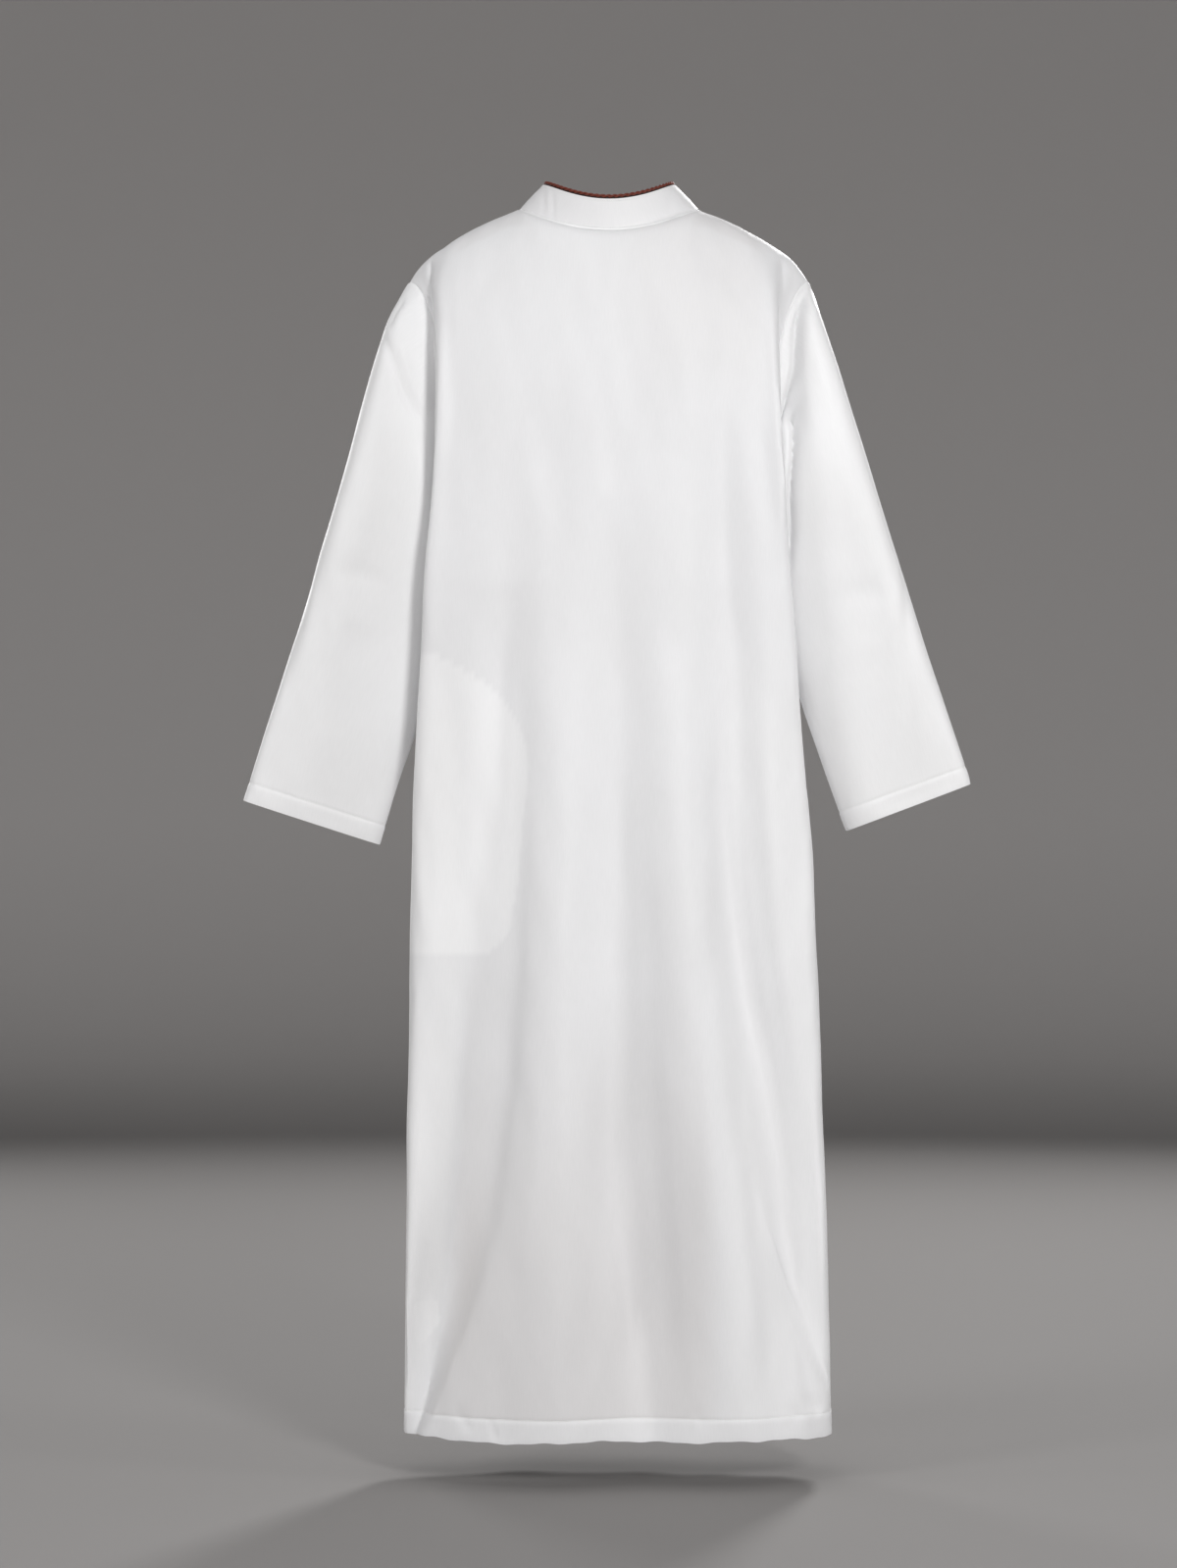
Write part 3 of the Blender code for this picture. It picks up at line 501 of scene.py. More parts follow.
def armhole(side, face, share):
    """A point of the armhole, from the tip of the shoulder (0) to the underarm (1)."""
    turn = math.pi * share
    fall = (1 - math.cos(turn)) / 2
    scoop = ARMHOLE_SCOOP[face] * math.sin(turn) * math.sqrt(max(1 - fall, 0.0))
    out = TIP_OUT + (UNDERARM_OUT - TIP_OUT) * fall - scoop
    drop = TIP_DROP + (UNDERARM_DROP - TIP_DROP) * fall
    return np.array([side * out, face * ARMHOLE_DEPTH[face] * math.sin(turn), -drop])


def upper_row(side, face, share, top, low):
    """One row of the yoke, from the middle to the armhole."""
    fall = share ** 1.2 + ((1 - math.cos(math.pi * share)) / 2 - share ** 1.2) * SHARES ** 2
    bulge = (1 - (1 - fall) ** SHOULDER_ROUNDNESS) ** (1 / SHOULDER_ROUNDNESS)
    row = top + (low - top) * np.stack([fall, bulge, fall], axis=1)
    for _ in range(int(round(min(share * 18, (1 - share) * 24, 8) * FINER))):
        row[1:SMOOTHED] = (row[:SMOOTHED - 1] + 2 * row[1:SMOOTHED] + row[2:SMOOTHED + 1]) / 4
    pull = np.clip((SHARES - CORNER_SHARE) / (1 - CORNER_SHARE), 0.0, 1.0)
    return row + pull[:, None] * (armhole(side, face, share) - row[-1])


def half_panel(side, face):
    top, low = top_edge(side, face), quarter(side, face, UNDERARM_DROP)
    upper = [upper_row(side, face, share, top, low) for share in UPPER_SHARES[:-1]]
    return np.array(upper + [quarter(side, face, drop) for drop in LOWER_DROPS])


def grid_normals(grid, closed=False):
    """The normals of a grid of points, which point the way that rows cross columns."""
    if closed:
        around = np.roll(grid, -1, axis=1) - np.roll(grid, 1, axis=1)
    else:
        around = np.gradient(grid, axis=1)
    return unit(np.cross(around, np.gradient(grid, axis=0)))


def creased(across, drop, creases):
    """How far each point sinks by the creases that cross it."""
    sink = np.zeros_like(across)
    for line in creases:
        run = np.array([line.to_across - line.across, line.to_drop - line.drop], float)
        length = np.linalg.norm(run)
        aside = np.array([-run[1], run[0]]) / length
        dx, dy = across - line.across, drop - line.drop
        along = (dx * run[0] + dy * run[1]) / length ** 2
        t = np.clip(along, 0.0, 1.0)
        off = np.abs(dx * aside[0] + dy * aside[1] - line.bow * 4 * t * (1 - t))
        ends = smooth(along / 0.3) * smooth((1 - along) / 0.3)
        sink += line.depth * ends * np.exp(-((off / line.width) ** line.sharp))
    return sink


def rippled(across, drop, seed):
    """The faint unevenness of cloth that hangs, in long soft waves."""
    rng = np.random.default_rng(seed)
    total = np.zeros_like(across)
    for wave, size in ((210, 0.55), (120, 0.4), (74, 0.28), (41, 0.14), (26, 0.07)):
        for _ in range(3):
            lean = rng.uniform(-0.4, 0.4)
            phase = rng.uniform(0, 2 * math.pi, 2)
            side = np.sin(2 * math.pi * (across + lean * drop) / wave + phase[0])
            total += size * side * (0.6 + 0.4 * np.sin(2 * math.pi * drop / (wave * 3.1) + phase[1]))
    return total


def hem_puckers(around, past, seed):
    """Small slanting puckers at a turned hem's stitch line. past is the distance below the line."""
    rng = np.random.default_rng(seed)
    total = np.zeros_like(around)
    low, high = around.min(), around.max()
    for _ in range(int((high - low) / 13)):
        at, lean = rng.uniform(low, high), rng.uniform(-0.5, 0.9)
        width, reach, size = rng.uniform(2.2, 4.6), rng.uniform(5, 13), rng.uniform(-0.35, 0.5)
        off = around - at - lean * past
        total += size * np.exp(-((off / width) ** 2) - ((past + rng.uniform(-6, 4)) / reach) ** 2)
    return total


def banded(past, band):
    """How far the cloth stands out over a turned-up band, with the groove of its stitch line."""
    past_edge = smooth((past - band + 3) / 3)
    return BAND_RISE * rise(past, 0.4, 3) * (1 - 0.6 * past_edge) - BAND_RISE * bell(past, 1.1)


def inside(across, drop, corners, soft):
    """1 inside a four-cornered patch and 0 outside, with a soft edge."""
    result = np.ones_like(across)
    for (ax, ay), (bx, by) in zip(corners, corners[1:] + corners[:1]):
        length = math.hypot(bx - ax, by - ay)
        off = ((bx - ax) * (drop - ay) - (by - ay) * (across - ax)) / length
        result *= smooth(0.5 + off / soft)
    return result


# ---------------------------------------------------------------------------- meshes


def place(name, data):
    """A new object in the scene."""
    piece = bpy.data.objects.new(name, data)
    bpy.context.scene.collection.objects.link(piece)
    return piece


def new_mesh(name, points, faces):
    mesh = bpy.data.meshes.new(name)
    mesh.from_pydata(np.asarray(points) * MM, [], faces)
    return mesh


def make(name, points, faces, material, uv=None, tone=None, smooth_angle=50.0):
    """A piece of the robe. uv is in millimetres of cloth and tone runs from sheer (0) to doubled (1), with
    painted light and shade in it too.
    """
    mesh = new_mesh(name, points, faces)
    mesh.validate()
    mesh.materials.append(material)
    corner_points = np.empty(len(mesh.loops), np.int32)
    mesh.loops.foreach_get("vertex_index", corner_points)
    if uv is not None:
        layer = mesh.uv_layers.new(name="cloth")
        layer.data.foreach_set("uv", (np.asarray(uv)[corner_points] * MM).astype(np.float32).ravel())
    if tone is not None:
        shade = mesh.attributes.new("tone", "FLOAT", "POINT")
        shade.data.foreach_set("value", np.asarray(tone, np.float32))
    mesh.shade_smooth()
    mesh.set_sharp_from_angle(angle=math.radians(smooth_angle))
    piece = place(name, mesh)
    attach(piece, "root")
    return piece


def grid_faces(rows, columns, closed=False, start=0):
    """The quads of a grid whose points are numbered along each row."""
    across = columns if closed else columns - 1
    r, c = np.meshgrid(np.arange(rows - 1), np.arange(across), indexing="ij")
    here, there = r * columns + c, r * columns + (c + 1) % columns
    return np.stack([here, there, there + columns, here + columns], axis=-1).reshape(-1, 4) + start


def shell(name, outer, inner, faces, material, uv, tone):
    """A closed thickness of cloth: outer faces, inner faces, and a rim along each free edge."""
    outer, inner, uv = np.reshape(outer, (-1, 3)), np.reshape(inner, (-1, 3)), np.reshape(uv, (-1, 2))
    count = len(outer)
    tone = np.broadcast_to(np.ravel(tone), count)
    starts = faces.ravel()
    ends = np.roll(faces, -1, axis=1).ravel()
    free = ~np.isin(starts * count + ends, ends * count + starts)
    a, b = starts[free], ends[free]
    rim = np.stack([b, a, a + count, b + count], axis=1)
    quads = np.concatenate([faces, faces[:, ::-1] + count, rim])
    points, uv, tone = (np.concatenate(pair) for pair in ((outer, inner), (uv, uv), (tone, tone)))
    return make(name, points, quads.tolist(), material, uv, tone)


class Panel:
    """The back or the front, as two half grids that share the middle column."""

    def __init__(self, face):
        self.face = face
        self.grids = {side: half_panel(side, face) for side in (LEFT, RIGHT)}
        self.drops = np.concatenate([-self.grids[LEFT][:UPPER_ROWS, 0, 2], LOWER_DROPS])
        self.find_normals()
        self.around, self.down, self.reach, self.from_edge, self.tone = {}, {}, {}, {}, {}
        for side, grid in self.grids.items():
            self.around[side] = lengths(grid, 1)
            self.down[side] = lengths(grid, 0)
            self.reach[side] = self.around[side][:, -1:] - self.around[side]
            self.from_edge[side] = np.minimum(self.reach[side], self.down[side])

    def find_normals(self):
        self.normals = {side: grid_normals(grid) * side * self.face for side, grid in self.grids.items()}
        middle = unit(self.normals[LEFT][:, 0] + self.normals[RIGHT][:, 0])
        for side in (LEFT, RIGHT):
            self.normals[side][:, 0] = middle

    def sharpened(self, across, drop):
        """How much further in the cloth lies, where folds are drawn deeper than the solid's and moved."""
        sink = np.zeros_like(across)

        def curves(fold):
            levels = np.linspace(fold[0].drop, fold[-1].drop, 120)
            return (np.interp(drop, levels, read_all(fold, name, levels)) for name in Fold._fields[1:])

        low = rise(drop, 1120, 260)
        for fold in FOLDS[self.face]:
            centre, width, depth = curves(fold)
            off = (across - centre) / width
            outer = low * (fold[-1].across > 200)
            shift = FOLD_SHIFT[self.face] * (1 + 0.3 * outer)
            moved = off - shift / width
            short = FOLD_SHORT_SIDE - 0.3 * low * (self.face == BACK)
            moved = moved / np.where(moved > 0, FOLD_LONG_SIDE + 0.5 * outer, short)
            sink += np.where(drop > fold[0].drop, depth * (FOLD_DEEPENING * bell(moved) - bell(off)), 0.0)
        for fold in SOFT_FOLDS[self.face]:
            centre, width, depth = curves(fold)
            between = (drop > fold[0].drop) & (drop < fold[-1].drop)
            sink += np.where(between, depth * bell(across - centre, width), 0.0)
        return sink

    def square_flank(self, side, grid, across, drop):
        """Brings the cloth out straight behind, close to its side folds."""
        levels = drop.ravel()[::COLUMNS]
        centre, width, lift = (read_all(FLANKS[side], name, levels)[:, None] for name in Flank._fields[1:])
        turned = np.minimum.accumulate(smooth((self.normals[side][:, :, 1] - 0.02) / 0.25), axis=1)
        inner = smooth(self.from_edge[side] / 26)
        near = np.where(across > centre, 1.0, bell(across - centre, width))
        grid[:, :, 1] += lift * near * turned * inner
        for line in FOLD_LINES[side]:
            run = rise(drop, line.start, 26) * smooth((line.end - drop) / 50)
            pinch = line.depth * run * np.exp(-(np.abs((across - line.across) / line.width) ** 1.6))
            grid[:, :, 1] -= pinch * smooth(self.from_edge[side] / 12)
        level = rise(drop, 90, 60) * smooth((430 - drop) / 150)
        grid[:, :, 0] -= side * FLANK_TUCK[side] * level * inner * rise(across, 160, 35)

    def shape(self):
        """Sinks and raises the cloth by its creases, ripples, hem and seams."""
        for side, grid in self.grids.items():
            across, drop = grid[:, :, 0], -grid[:, :, 2]
            facing = smooth((np.abs(self.normals[side][:, :, 1]) - 0.2) / 0.5)
            past = np.broadcast_to((self.drops - HEM_STITCH)[:, None], across.shape)
            sink = (creased(across, drop, CREASES[self.face]) + self.sharpened(across, drop)) * facing
            flat = side * self.around[side]
            sink += rippled(flat, drop, PANEL_SEED + self.face)
            sink *= smooth(self.from_edge[side] / SEAM_FADE)
            low = past > -40
            seam_fade = smooth(self.reach[side] / 6.0)
            sink[low] += (hem_puckers(flat, past, HEM_SEED + self.face) * seam_fade)[low]
            sink -= np.where(low, banded(past, HEM_BAND), 0.0)
            to_shoulder = np.where(np.arange(COLUMNS) > NECK_COLUMNS, self.down[side], math.inf)
            sink += SEAM_SINK * (1 - smooth(np.minimum(self.reach[side], to_shoulder) / SEAM_GROOVE))
            grid -= self.normals[side] * sink[:, :, None]
            if self.face == BACK:
                self.square_flank(side, grid, side * across, drop)
            uneven = 1.1 * np.sin(flat / 31.0 + 0.7) + 0.7 * np.sin(flat / 11.3 + self.face)
            uneven += 0.4 * np.sin(flat / 5.1)
            grid[:, :, 2] += uneven * smooth(past / HEM_BAND) * seam_fade
            self.paint(side, across, drop, past)
        self.find_normals()

    def paint(self, side, across, drop, past):
        """Where the cloth looks doubled or sheer, with painted shade on the skirt and painted light and
        shade on the back.
        """
        tone = np.full(across.shape, SINGLE_TONE)
        flank = smooth((np.abs(across) - np.where(across > 0, 150.0, 95.0)) / 60.0)
        # The skirt, darker towards the bottom: partly sheer cloth, partly painted shade.
        tone -= SKIRT_SHEER_AND_SHADE * rise(drop, 780, 520) * (1 - flank)
        if self.face == BACK:
            # Painted light on the right flank.
            tone += RIGHT_FLANK_LIT * flank * rise(drop, 440, 160) * (across < 0)
            # Painted light on the left flank, inside the edge given by LIT_FLANK.
            inward = read_all(LIT_FLANK, "across", self.drops)[:, None] - across
            lit = UPPER_LIT * rise(drop, 480, 180) + LOWER_LIT * rise(drop, 850, 160)
            tone += lit * smooth((12 - inward) / 24)
            # Painted shade beside it.
            tone -= SHADE_BESIDE_LIT * bell(inward - 27, 17) * rise(drop, 1080, 140)
            # Painted shade under the shoulder seams and on the right shoulder blade.
            below = drop - read_all(SHOULDER_LINE, "drop", np.abs(across[0]))[None, :]
            shade = smooth((27 - below) / 7) * rise(np.abs(across), 80, 30)
            shade = SHOULDER_SHADE * shade
            shade += BLADE_SHADE * smooth((20 - across) / 100) * smooth((260 - drop) / 180)
            tone -= shade * (1 - rise(np.abs(across), 160, 28))
            edge = read_all(BAG_OUTLINE, "reach", self.drops)[:, None]
            bag = smooth((edge - self.reach[side]) / 3.0) * rise(drop, BAG_OUTLINE[0].drop, 4)
            bag *= smooth((BAG_OUTLINE[-1].drop - drop) / 3.0)
            if side == RIGHT:
                bag *= RIGHT_BAG_SHARE * smooth((78 - self.reach[side]) / 34.0)
            tone += BAG_SHOWS * bag
            if side == LEFT:
                tone += LABEL_SHOWS * inside(across, drop, LABEL_PATCH, 2.0)
        allowance = smooth((11 - self.reach[side]) / 2.0) * (drop > UNDERARM_DROP)
        tone = np.maximum(tone, ALLOWANCE_TONE * allowance)
        band = smooth(past / 1.5)
        self.tone[side] = tone * (1 - band) + SINGLE_TONE * band

    def build(self, name, slit_drop, material):
        outer, inner, uv, tone = [], [], [], []
        thickness = np.where(self.drops > HEM_STITCH, TURNED_HEM, CLOTH)[:, None, None]
        slit = self.drops < slit_drop
        for side in (LEFT, RIGHT):
            grid = self.grids[side].copy()
            under = grid - self.normals[side] * thickness
            for layer in (grid, under):
                layer[slit, 0, 0] += side * SLIT_WIDTH / 2
            outer.append(grid.reshape(-1, 3))
            inner.append(under.reshape(-1, 3))
            uv.append(np.stack([side * self.around[side], -self.down[side]], axis=2).reshape(-1, 2))
            tone.append(self.tone[side].ravel())
        rows = len(self.drops)
        count = rows * COLUMNS
        joined = np.arange(2 * count)
        middle = np.arange(rows)[~slit] * COLUMNS
        joined[middle + count] = middle
        right = grid_faces(rows, COLUMNS, start=count)[:, ::-1]
        faces = joined[np.concatenate([grid_faces(rows, COLUMNS), right])]
        if self.face == FRONT:
            faces = faces[:, ::-1]
        used, faces = np.unique(faces, return_inverse=True)
        outer, inner, uv, tone = (np.concatenate(halves)[used] for halves in (outer, inner, uv, tone))
        return shell(name, outer, inner, faces.reshape(-1, 4), material, uv, tone)

    def at(self, side, row, column):
        """A point of the panel and its normal there, between the panel's own rows and columns."""
        grid, normals = self.grids[side], self.normals[side]
        r = min(int(row), grid.shape[0] - 2)
        c = min(int(column), grid.shape[1] - 2)
        weights = np.outer([1 - (row - r), row - r], [1 - (column - c), column - c])[:, :, None]
        point = (grid[r:r + 2, c:c + 2] * weights).sum(axis=(0, 1))
        return point, unit((normals[r:r + 2, c:c + 2] * weights).sum(axis=(0, 1)))

    def row_at(self, drop):
        return float(np.interp(drop, self.drops, np.arange(len(self.drops))))

    def by_reach(self, side, drop, reach):
        """A point of the panel by its distance round the cloth from the side seam."""
        row = self.row_at(drop)
        return self.at(side, row, float(np.interp(-reach, -self.reach[side][int(row)], np.arange(COLUMNS))))

    def hem_line(self):
        """The stitch line of the hem, from one side seam to the other."""
        row = int(np.argmin(np.abs(self.drops - HEM_STITCH)))
        return [
            np.concatenate([halves[LEFT][row, ::-1], halves[RIGHT][row, 1:]])
            for halves in (self.grids, self.normals)
        ]


def match_seams(back, front):
    """Makes the two panels' normals agree along the shoulder and side seams."""
    shoulder = (slice(0, 1), slice(NECK_COLUMNS, None))
    side_seam = (slice(UPPER_ROWS, None), slice(-1, None))
    for side in (LEFT, RIGHT):
        for part in (shoulder, side_seam):
            shared = unit(back.normals[side][part] + front.normals[side][part])
            for panel in (back, front):
                panel.normals[side][part] = shared


# ---------------------------------------------------------------------------- sleeves


TURNS = np.concatenate([math.pi * UPPER_SHARES, 2 * math.pi - math.pi * UPPER_SHARES[-2:0:-1]])


def sleeve_ring(side, share):
    """One ring of a sleeve, round from its outer edge by the back to its inner edge and by the front."""
    ring = {name: read(SLEEVES[side], name, share) for name in Ring._fields[1:]}
    outer = np.array([side * ring["outer"], 0.0, -ring["outer_drop"]])
    inner = np.array([side * ring["inner"], 0.0, -ring["inner_drop"]])
    middle = (outer + inner) / 2 - np.array([0.0, ring["forward"], 0.0])
    deep = np.array([0.0, ring["depth"] / 2, 0.0])
    power = 1 - SLEEVE_SQUARENESS[side] * smooth(share / 0.12) * (np.sin(TURNS) > 0)
    along, aside = (np.sign(v) * np.abs(v) ** power for v in (np.cos(TURNS), np.sin(TURNS)))
    return middle + np.outer(along, (outer - inner) / 2) + np.outer(aside, deep)


def armhole_ring(side):
    back = [armhole(side, BACK, share) for share in UPPER_SHARES]
    front = [armhole(side, FRONT, share) for share in UPPER_SHARES[-2:0:-1]]
    return np.array(back + front)


class Sleeve:
    """A set-in sleeve."""

    def __init__(self, side):
        self.side = side
        length = read(SLEEVES[side], "outer_drop", 1.0) - TIP_DROP
        per_mm = 1 / length
        band = CUFF_BAND * per_mm
        runs = np.linspace(0.0, 1.0, SLEEVE_RINGS) ** 1.15 * (1 - band - 4 * per_mm)
        first = runs[1] * np.array([0.12, 0.3])
        rest = 1 - band + per_mm * CUFF_RINGS
        rest[-1] = 1.0
        self.shares = np.concatenate([runs[:1], first, runs[1:], rest])
        offset = armhole_ring(side) - sleeve_ring(side, 0.0)
        fade = np.clip(1 - self.shares / 0.25, 0.0, 1.0) ** 2
        self.grid = np.array([sleeve_ring(side, s) + offset * f for s, f in zip(self.shares, fade)])
        self.past = (self.shares - (1 - band)) / per_mm
        self.normals = grid_normals(self.grid, closed=True) * -side

    def shape(self):
        """Sinks and raises the cloth by its creases, ripples, cuff and seams, and sets its tone."""
        grid = self.grid
        around = lengths(grid, 1)
        whole = around[:, -1:] + np.linalg.norm(grid[:, :1] - grid[:, -1:], axis=2)
        around = np.where(np.arange(grid.shape[1]) > UPPER_ROWS, around - whole, around)
        along = lengths(grid, 0)
        sink = creased(around, along, SLEEVE_CREASES[self.side])
        sink += rippled(around, along, SLEEVE_SEED + self.side) * 0.8
        sink *= smooth(along / SEAM_FADE)
        past = np.broadcast_to(self.past[:, None], sink.shape)
        sink *= 1 - rise(past, 10, 12)
        low = past > -30
        sink[low] += (0.8 * hem_puckers(around, past, CUFF_SEED + self.side))[low]
        sink -= np.where(low, banded(past, CUFF_BAND), 0.0)
        head = smooth(along / 3) * bell(along, 11)
        sink -= 0.7 * head * (1 + 0.35 * np.sin(around / 4.1))
        sink += SEAM_SINK * (1 - smooth(along / SEAM_GROOVE))
        under = np.abs(np.abs(around) - whole / 2)
        sink += 0.35 * bell(under, 1.6) * smooth(along / 10)
        self.grid = grid - self.normals * sink[:, :, None]
        seam = self.normals[0].copy()
        self.normals = grid_normals(self.grid, closed=True) * -self.side
        self.normals[0] = seam
        self.around, self.along = around, along
        # Painted light: the sleeve set near doubled, and its doubled cuff lighter still.
        band = smooth(past / 1.2)
        self.tone = SLEEVE_PAINTED_LIGHT * (1 - band) + CUFF_DOUBLED_AND_LIT * band

    def build(self, material):
        thickness = np.where(self.past > 0, TURNED_HEM, CLOTH)[:, None, None]
        inner = self.grid - self.normals * thickness
        faces = grid_faces(*self.grid.shape[:2], closed=True)
        if self.side == LEFT:
            faces = faces[:, ::-1]
        uv = np.stack([self.around, -self.along], axis=2)
        name = "sleeve_cloth_" + SIDE_NAME[self.side]
        return shell(name, self.grid, inner, faces, material, uv, self.tone)

    def cuff_line(self):
        """The cuff's stitch line, all the way round."""
        row = float(np.interp(0.0, self.past, np.arange(len(self.past))))
        r = min(int(row), len(self.past) - 2)
        t = row - r
        points = self.grid[r] * (1 - t) + self.grid[r + 1] * t
        normals = unit(self.normals[r] * (1 - t) + self.normals[r + 1] * t)
        return [np.concatenate([line, line[:1]]) for line in (points, normals)]


def match_armhole(sleeve, back, front):
    """Makes a sleeve's normals agree with the panels' along the armhole."""
    side = sleeve.side
    for column in range(len(TURNS)):
        over_back = column <= UPPER_ROWS
        row = column if over_back else len(TURNS) - column
        if row in (0, UPPER_ROWS):
            panels = (back, front)
            normal = unit(back.normals[side][row, -1] + front.normals[side][row, -1])
        else:
            panels = (back if over_back else front,)
            normal = panels[0].normals[side][row, -1]
        shared = unit(sleeve.normals[0, column] + normal)
        for panel in panels:
            panel.normals[side][row, -1] = shared
        sleeve.normals[0, column] = shared


# ---------------------------------------------------------------------------- collar, cord and stitches


def neck_ring(*shape):
    """A ring round the neck, from the left of the middle front by the back to the right of it."""
    quarters = [
        neck_curve(side, face, *shape)[::1 if side * face < 0 else -1]
        for side, face in ((LEFT, FRONT), (LEFT, BACK), (RIGHT, BACK), (RIGHT, FRONT))
    ]
    ring = np.concatenate([quarters[0], *(q[1:] for q in quarters[1:])])
    ring[0, 0] += COLLAR_END_GAP / 2
    ring[-1, 0] -= COLLAR_END_GAP / 2
    return ring


def resampled(points, step, *others):
    """A line's points at even steps, and whatever goes with them."""
    length = lengths(points, 0)
    count = max(int(round(length[-1] / step)), 2)
    even = np.linspace(0.0, length[-1], count + 1)
    return [
        np.stack([np.interp(even, length, values[:, k]) for k in range(3)], axis=1)
        for values in (points, *others)
    ]


def merged(parts):
    """Several lists of points with their faces, as one."""
    points, faces, start = [], [], 0
    for part_points, part_faces in parts:
        points.append(part_points)
        faces += [[k + start for k in face] for face in part_faces]
        start += len(part_points)
    return np.concatenate(points), faces


def stitches(name, lines, material, pitch=2.9, radius=0.36, fill=0.72):
    """Rows of stitches. Each line is points and normals in millimetres."""
    sides = 6
    turn = full_turn(sides)
    quads = grid_faces(3, sides, closed=True).tolist()
    low, high = 3 * sides, 3 * sides + 1
    ends = [[low, (k + 1) % sides, k] for k in range(sides)]
    ends += [[high, 2 * sides + k, 2 * sides + (k + 1) % sides] for k in range(sides)]
    faces = [face[::-1] for face in quads + ends]
    parts = []
    for line, normals in lines:
        line, normals = resampled(line, pitch, normals)
        ups = unit(normals[1:] + normals[:-1])
        for middle, run, up in zip((line[1:] + line[:-1]) / 2, line[1:] - line[:-1], ups):
            half = run * fill / 2
            circle = np.outer(np.cos(turn), np.cross(unit(run), up)) + np.outer(np.sin(turn), up)
            body = []
            for along, size, lift in ((-0.72, 0.75, 0.0), (0.0, 1.0, 0.14), (0.72, 0.75, 0.0)):
                body.append(middle + half * along + up * (lift + 0.05) + size * radius * circle)
            tips = np.array([middle - half - up * 0.12, middle + half - up * 0.12])
            parts.append((np.concatenate([*body, tips]), faces))
    return make(name, *merged(parts), material)


def build_collar(material, thread):
    """The stand collar, which leans in towards the neck, with a rolled top edge."""
    base = neck_ring(NECK_HALF_WIDTH, NECK_DEPTH, NECK_DROP, 0.0, COLLAR_STEPS)
    top = neck_ring(COLLAR_TOP_HALF_WIDTH, COLLAR_TOP_DEPTH, COLLAR_TOP_DROP, COLLAR_TOP_SIDE, COLLAR_STEPS)
    span = top - base
    height = np.linalg.norm(span, axis=1)
    up = unit(span)
    out = -unit(np.cross(np.gradient(base, axis=0), up))
    out *= np.sign((out[:, :2] * base[:, :2]).sum(axis=1).mean())
    sides = np.concatenate([np.linspace(0.0, 0.2, 9)[:-1], np.linspace(0.2, 1.0, 17)])
    half = COLLAR_CLOTH / 2
    around = lengths(base, 0)
    zero = np.zeros(len(base))
    narrowing = 1 - COLLAR_TOP_HALF_WIDTH / NECK_HALF_WIDTH
    section, uv, tones = [], [], []

    def add(outward, upward, v, tone):
        section.append(base + out * (outward - half)[:, None] + up * upward[:, None])
        uv.append(np.stack([around, v], axis=1))
        tones.append(np.full(len(base), tone))

    def waved(share):
        """The collar's creases, which stand upright, part of the way up it."""
        across = base[:, 0] * (1 - narrowing * share)
        wave = sum(size * bell(across - at, width) for at, width, size in COLLAR_CREASES)
        return -wave * (base[:, 1] > 0) * math.sin(math.pi * share) ** 0.7

    for share in sides:
        upward = share * (height - half)
        foot = 0.6 * bell(upward - COLLAR_FOOT_STITCH, 0.9) - 0.9 * bell(upward, 1.9)
        head = 0.25 * bell(height - upward - COLLAR_TOP_STITCH, 0.8)
        outward = zero + half + COLLAR_SWELL * math.sin(math.pi * share) + waved(share) - foot - head
        # The outer face is set darker than its doubled cloth, as painted shade, with a lighter band along
        # its foot as a painted highlight.
        add(outward, upward, upward, 0.42 + 0.5 * float(share < 0.07))
    for turn in np.linspace(0.0, math.pi, 7)[1:-1]:
        add(half * math.cos(turn) + zero, height - half + half * math.sin(turn), height, 0.85)
    for share in sides[::-1]:
        upward = share * (height - half)
        add(zero - half + 0.4 * math.sin(math.pi * share) + waved(share), upward, 2 * height - upward, 0.7)
    grid = np.array(section)
    rows, columns = grid.shape[:2]
    across = np.arange(columns - 1)
    last = (rows - 1) * columns + across
    foot_row = np.stack([last, last + 1, across + 1, across], axis=1)
    faces = [face[::-1] for face in np.concatenate([grid_faces(rows, columns), foot_row]).tolist()]
    middle = rows // 2
    for column, way in ((0, 1), (columns - 1, -1)):
        loop = [row * columns + column for row in range(rows)]
        caps = [(loop[i], loop[i + 1], loop[-2 - i], loop[-1 - i]) for i in range(middle - 1)]
        caps.append((loop[middle - 1], loop[middle], loop[middle + 1]))
        faces += [list(cap[::way]) for cap in caps]
    uv, tones = np.concatenate(uv), np.concatenate(tones)
    collar = make("collar_band", grid.reshape(-1, 3), faces, material, uv, tones)
    lines = []
    for upward in (zero + COLLAR_FOOT_STITCH, height - COLLAR_TOP_STITCH):
        swell = COLLAR_SWELL * np.sin(math.pi * upward / height)
        lines.append((base + out * (swell - 0.1)[:, None] + up * upward[:, None], out))
    seams = stitches("collar_stitches", lines, thread, pitch=2.6)
    return collar, seams, base + up * height[:, None] - out * half, up, out


def cross_axes(points, up):
    """The two directions across a line, the second of them nearest to up."""
    run = unit(np.gradient(points, axis=0))
    across = unit(np.cross(run, up))
    return across, np.cross(across, run)


def tube(points, up, radius, sides):
    """The points and faces of a closed tube along a line."""
    across, rise = cross_axes(points, up)
    turn = full_turn(sides)
    rings = (
        points[:, None]
        + radius * np.cos(turn)[None, :, None] * across[:, None]
        + radius * np.sin(turn)[None, :, None] * rise[:, None]
    )
    last = (len(points) - 1) * sides
    faces = [face[::-1] for face in grid_faces(len(points), sides, closed=True).tolist()]
    faces += [list(range(sides)), list(range(last + sides - 1, last - 1, -1))]
    return rings.reshape(-1, 3), faces


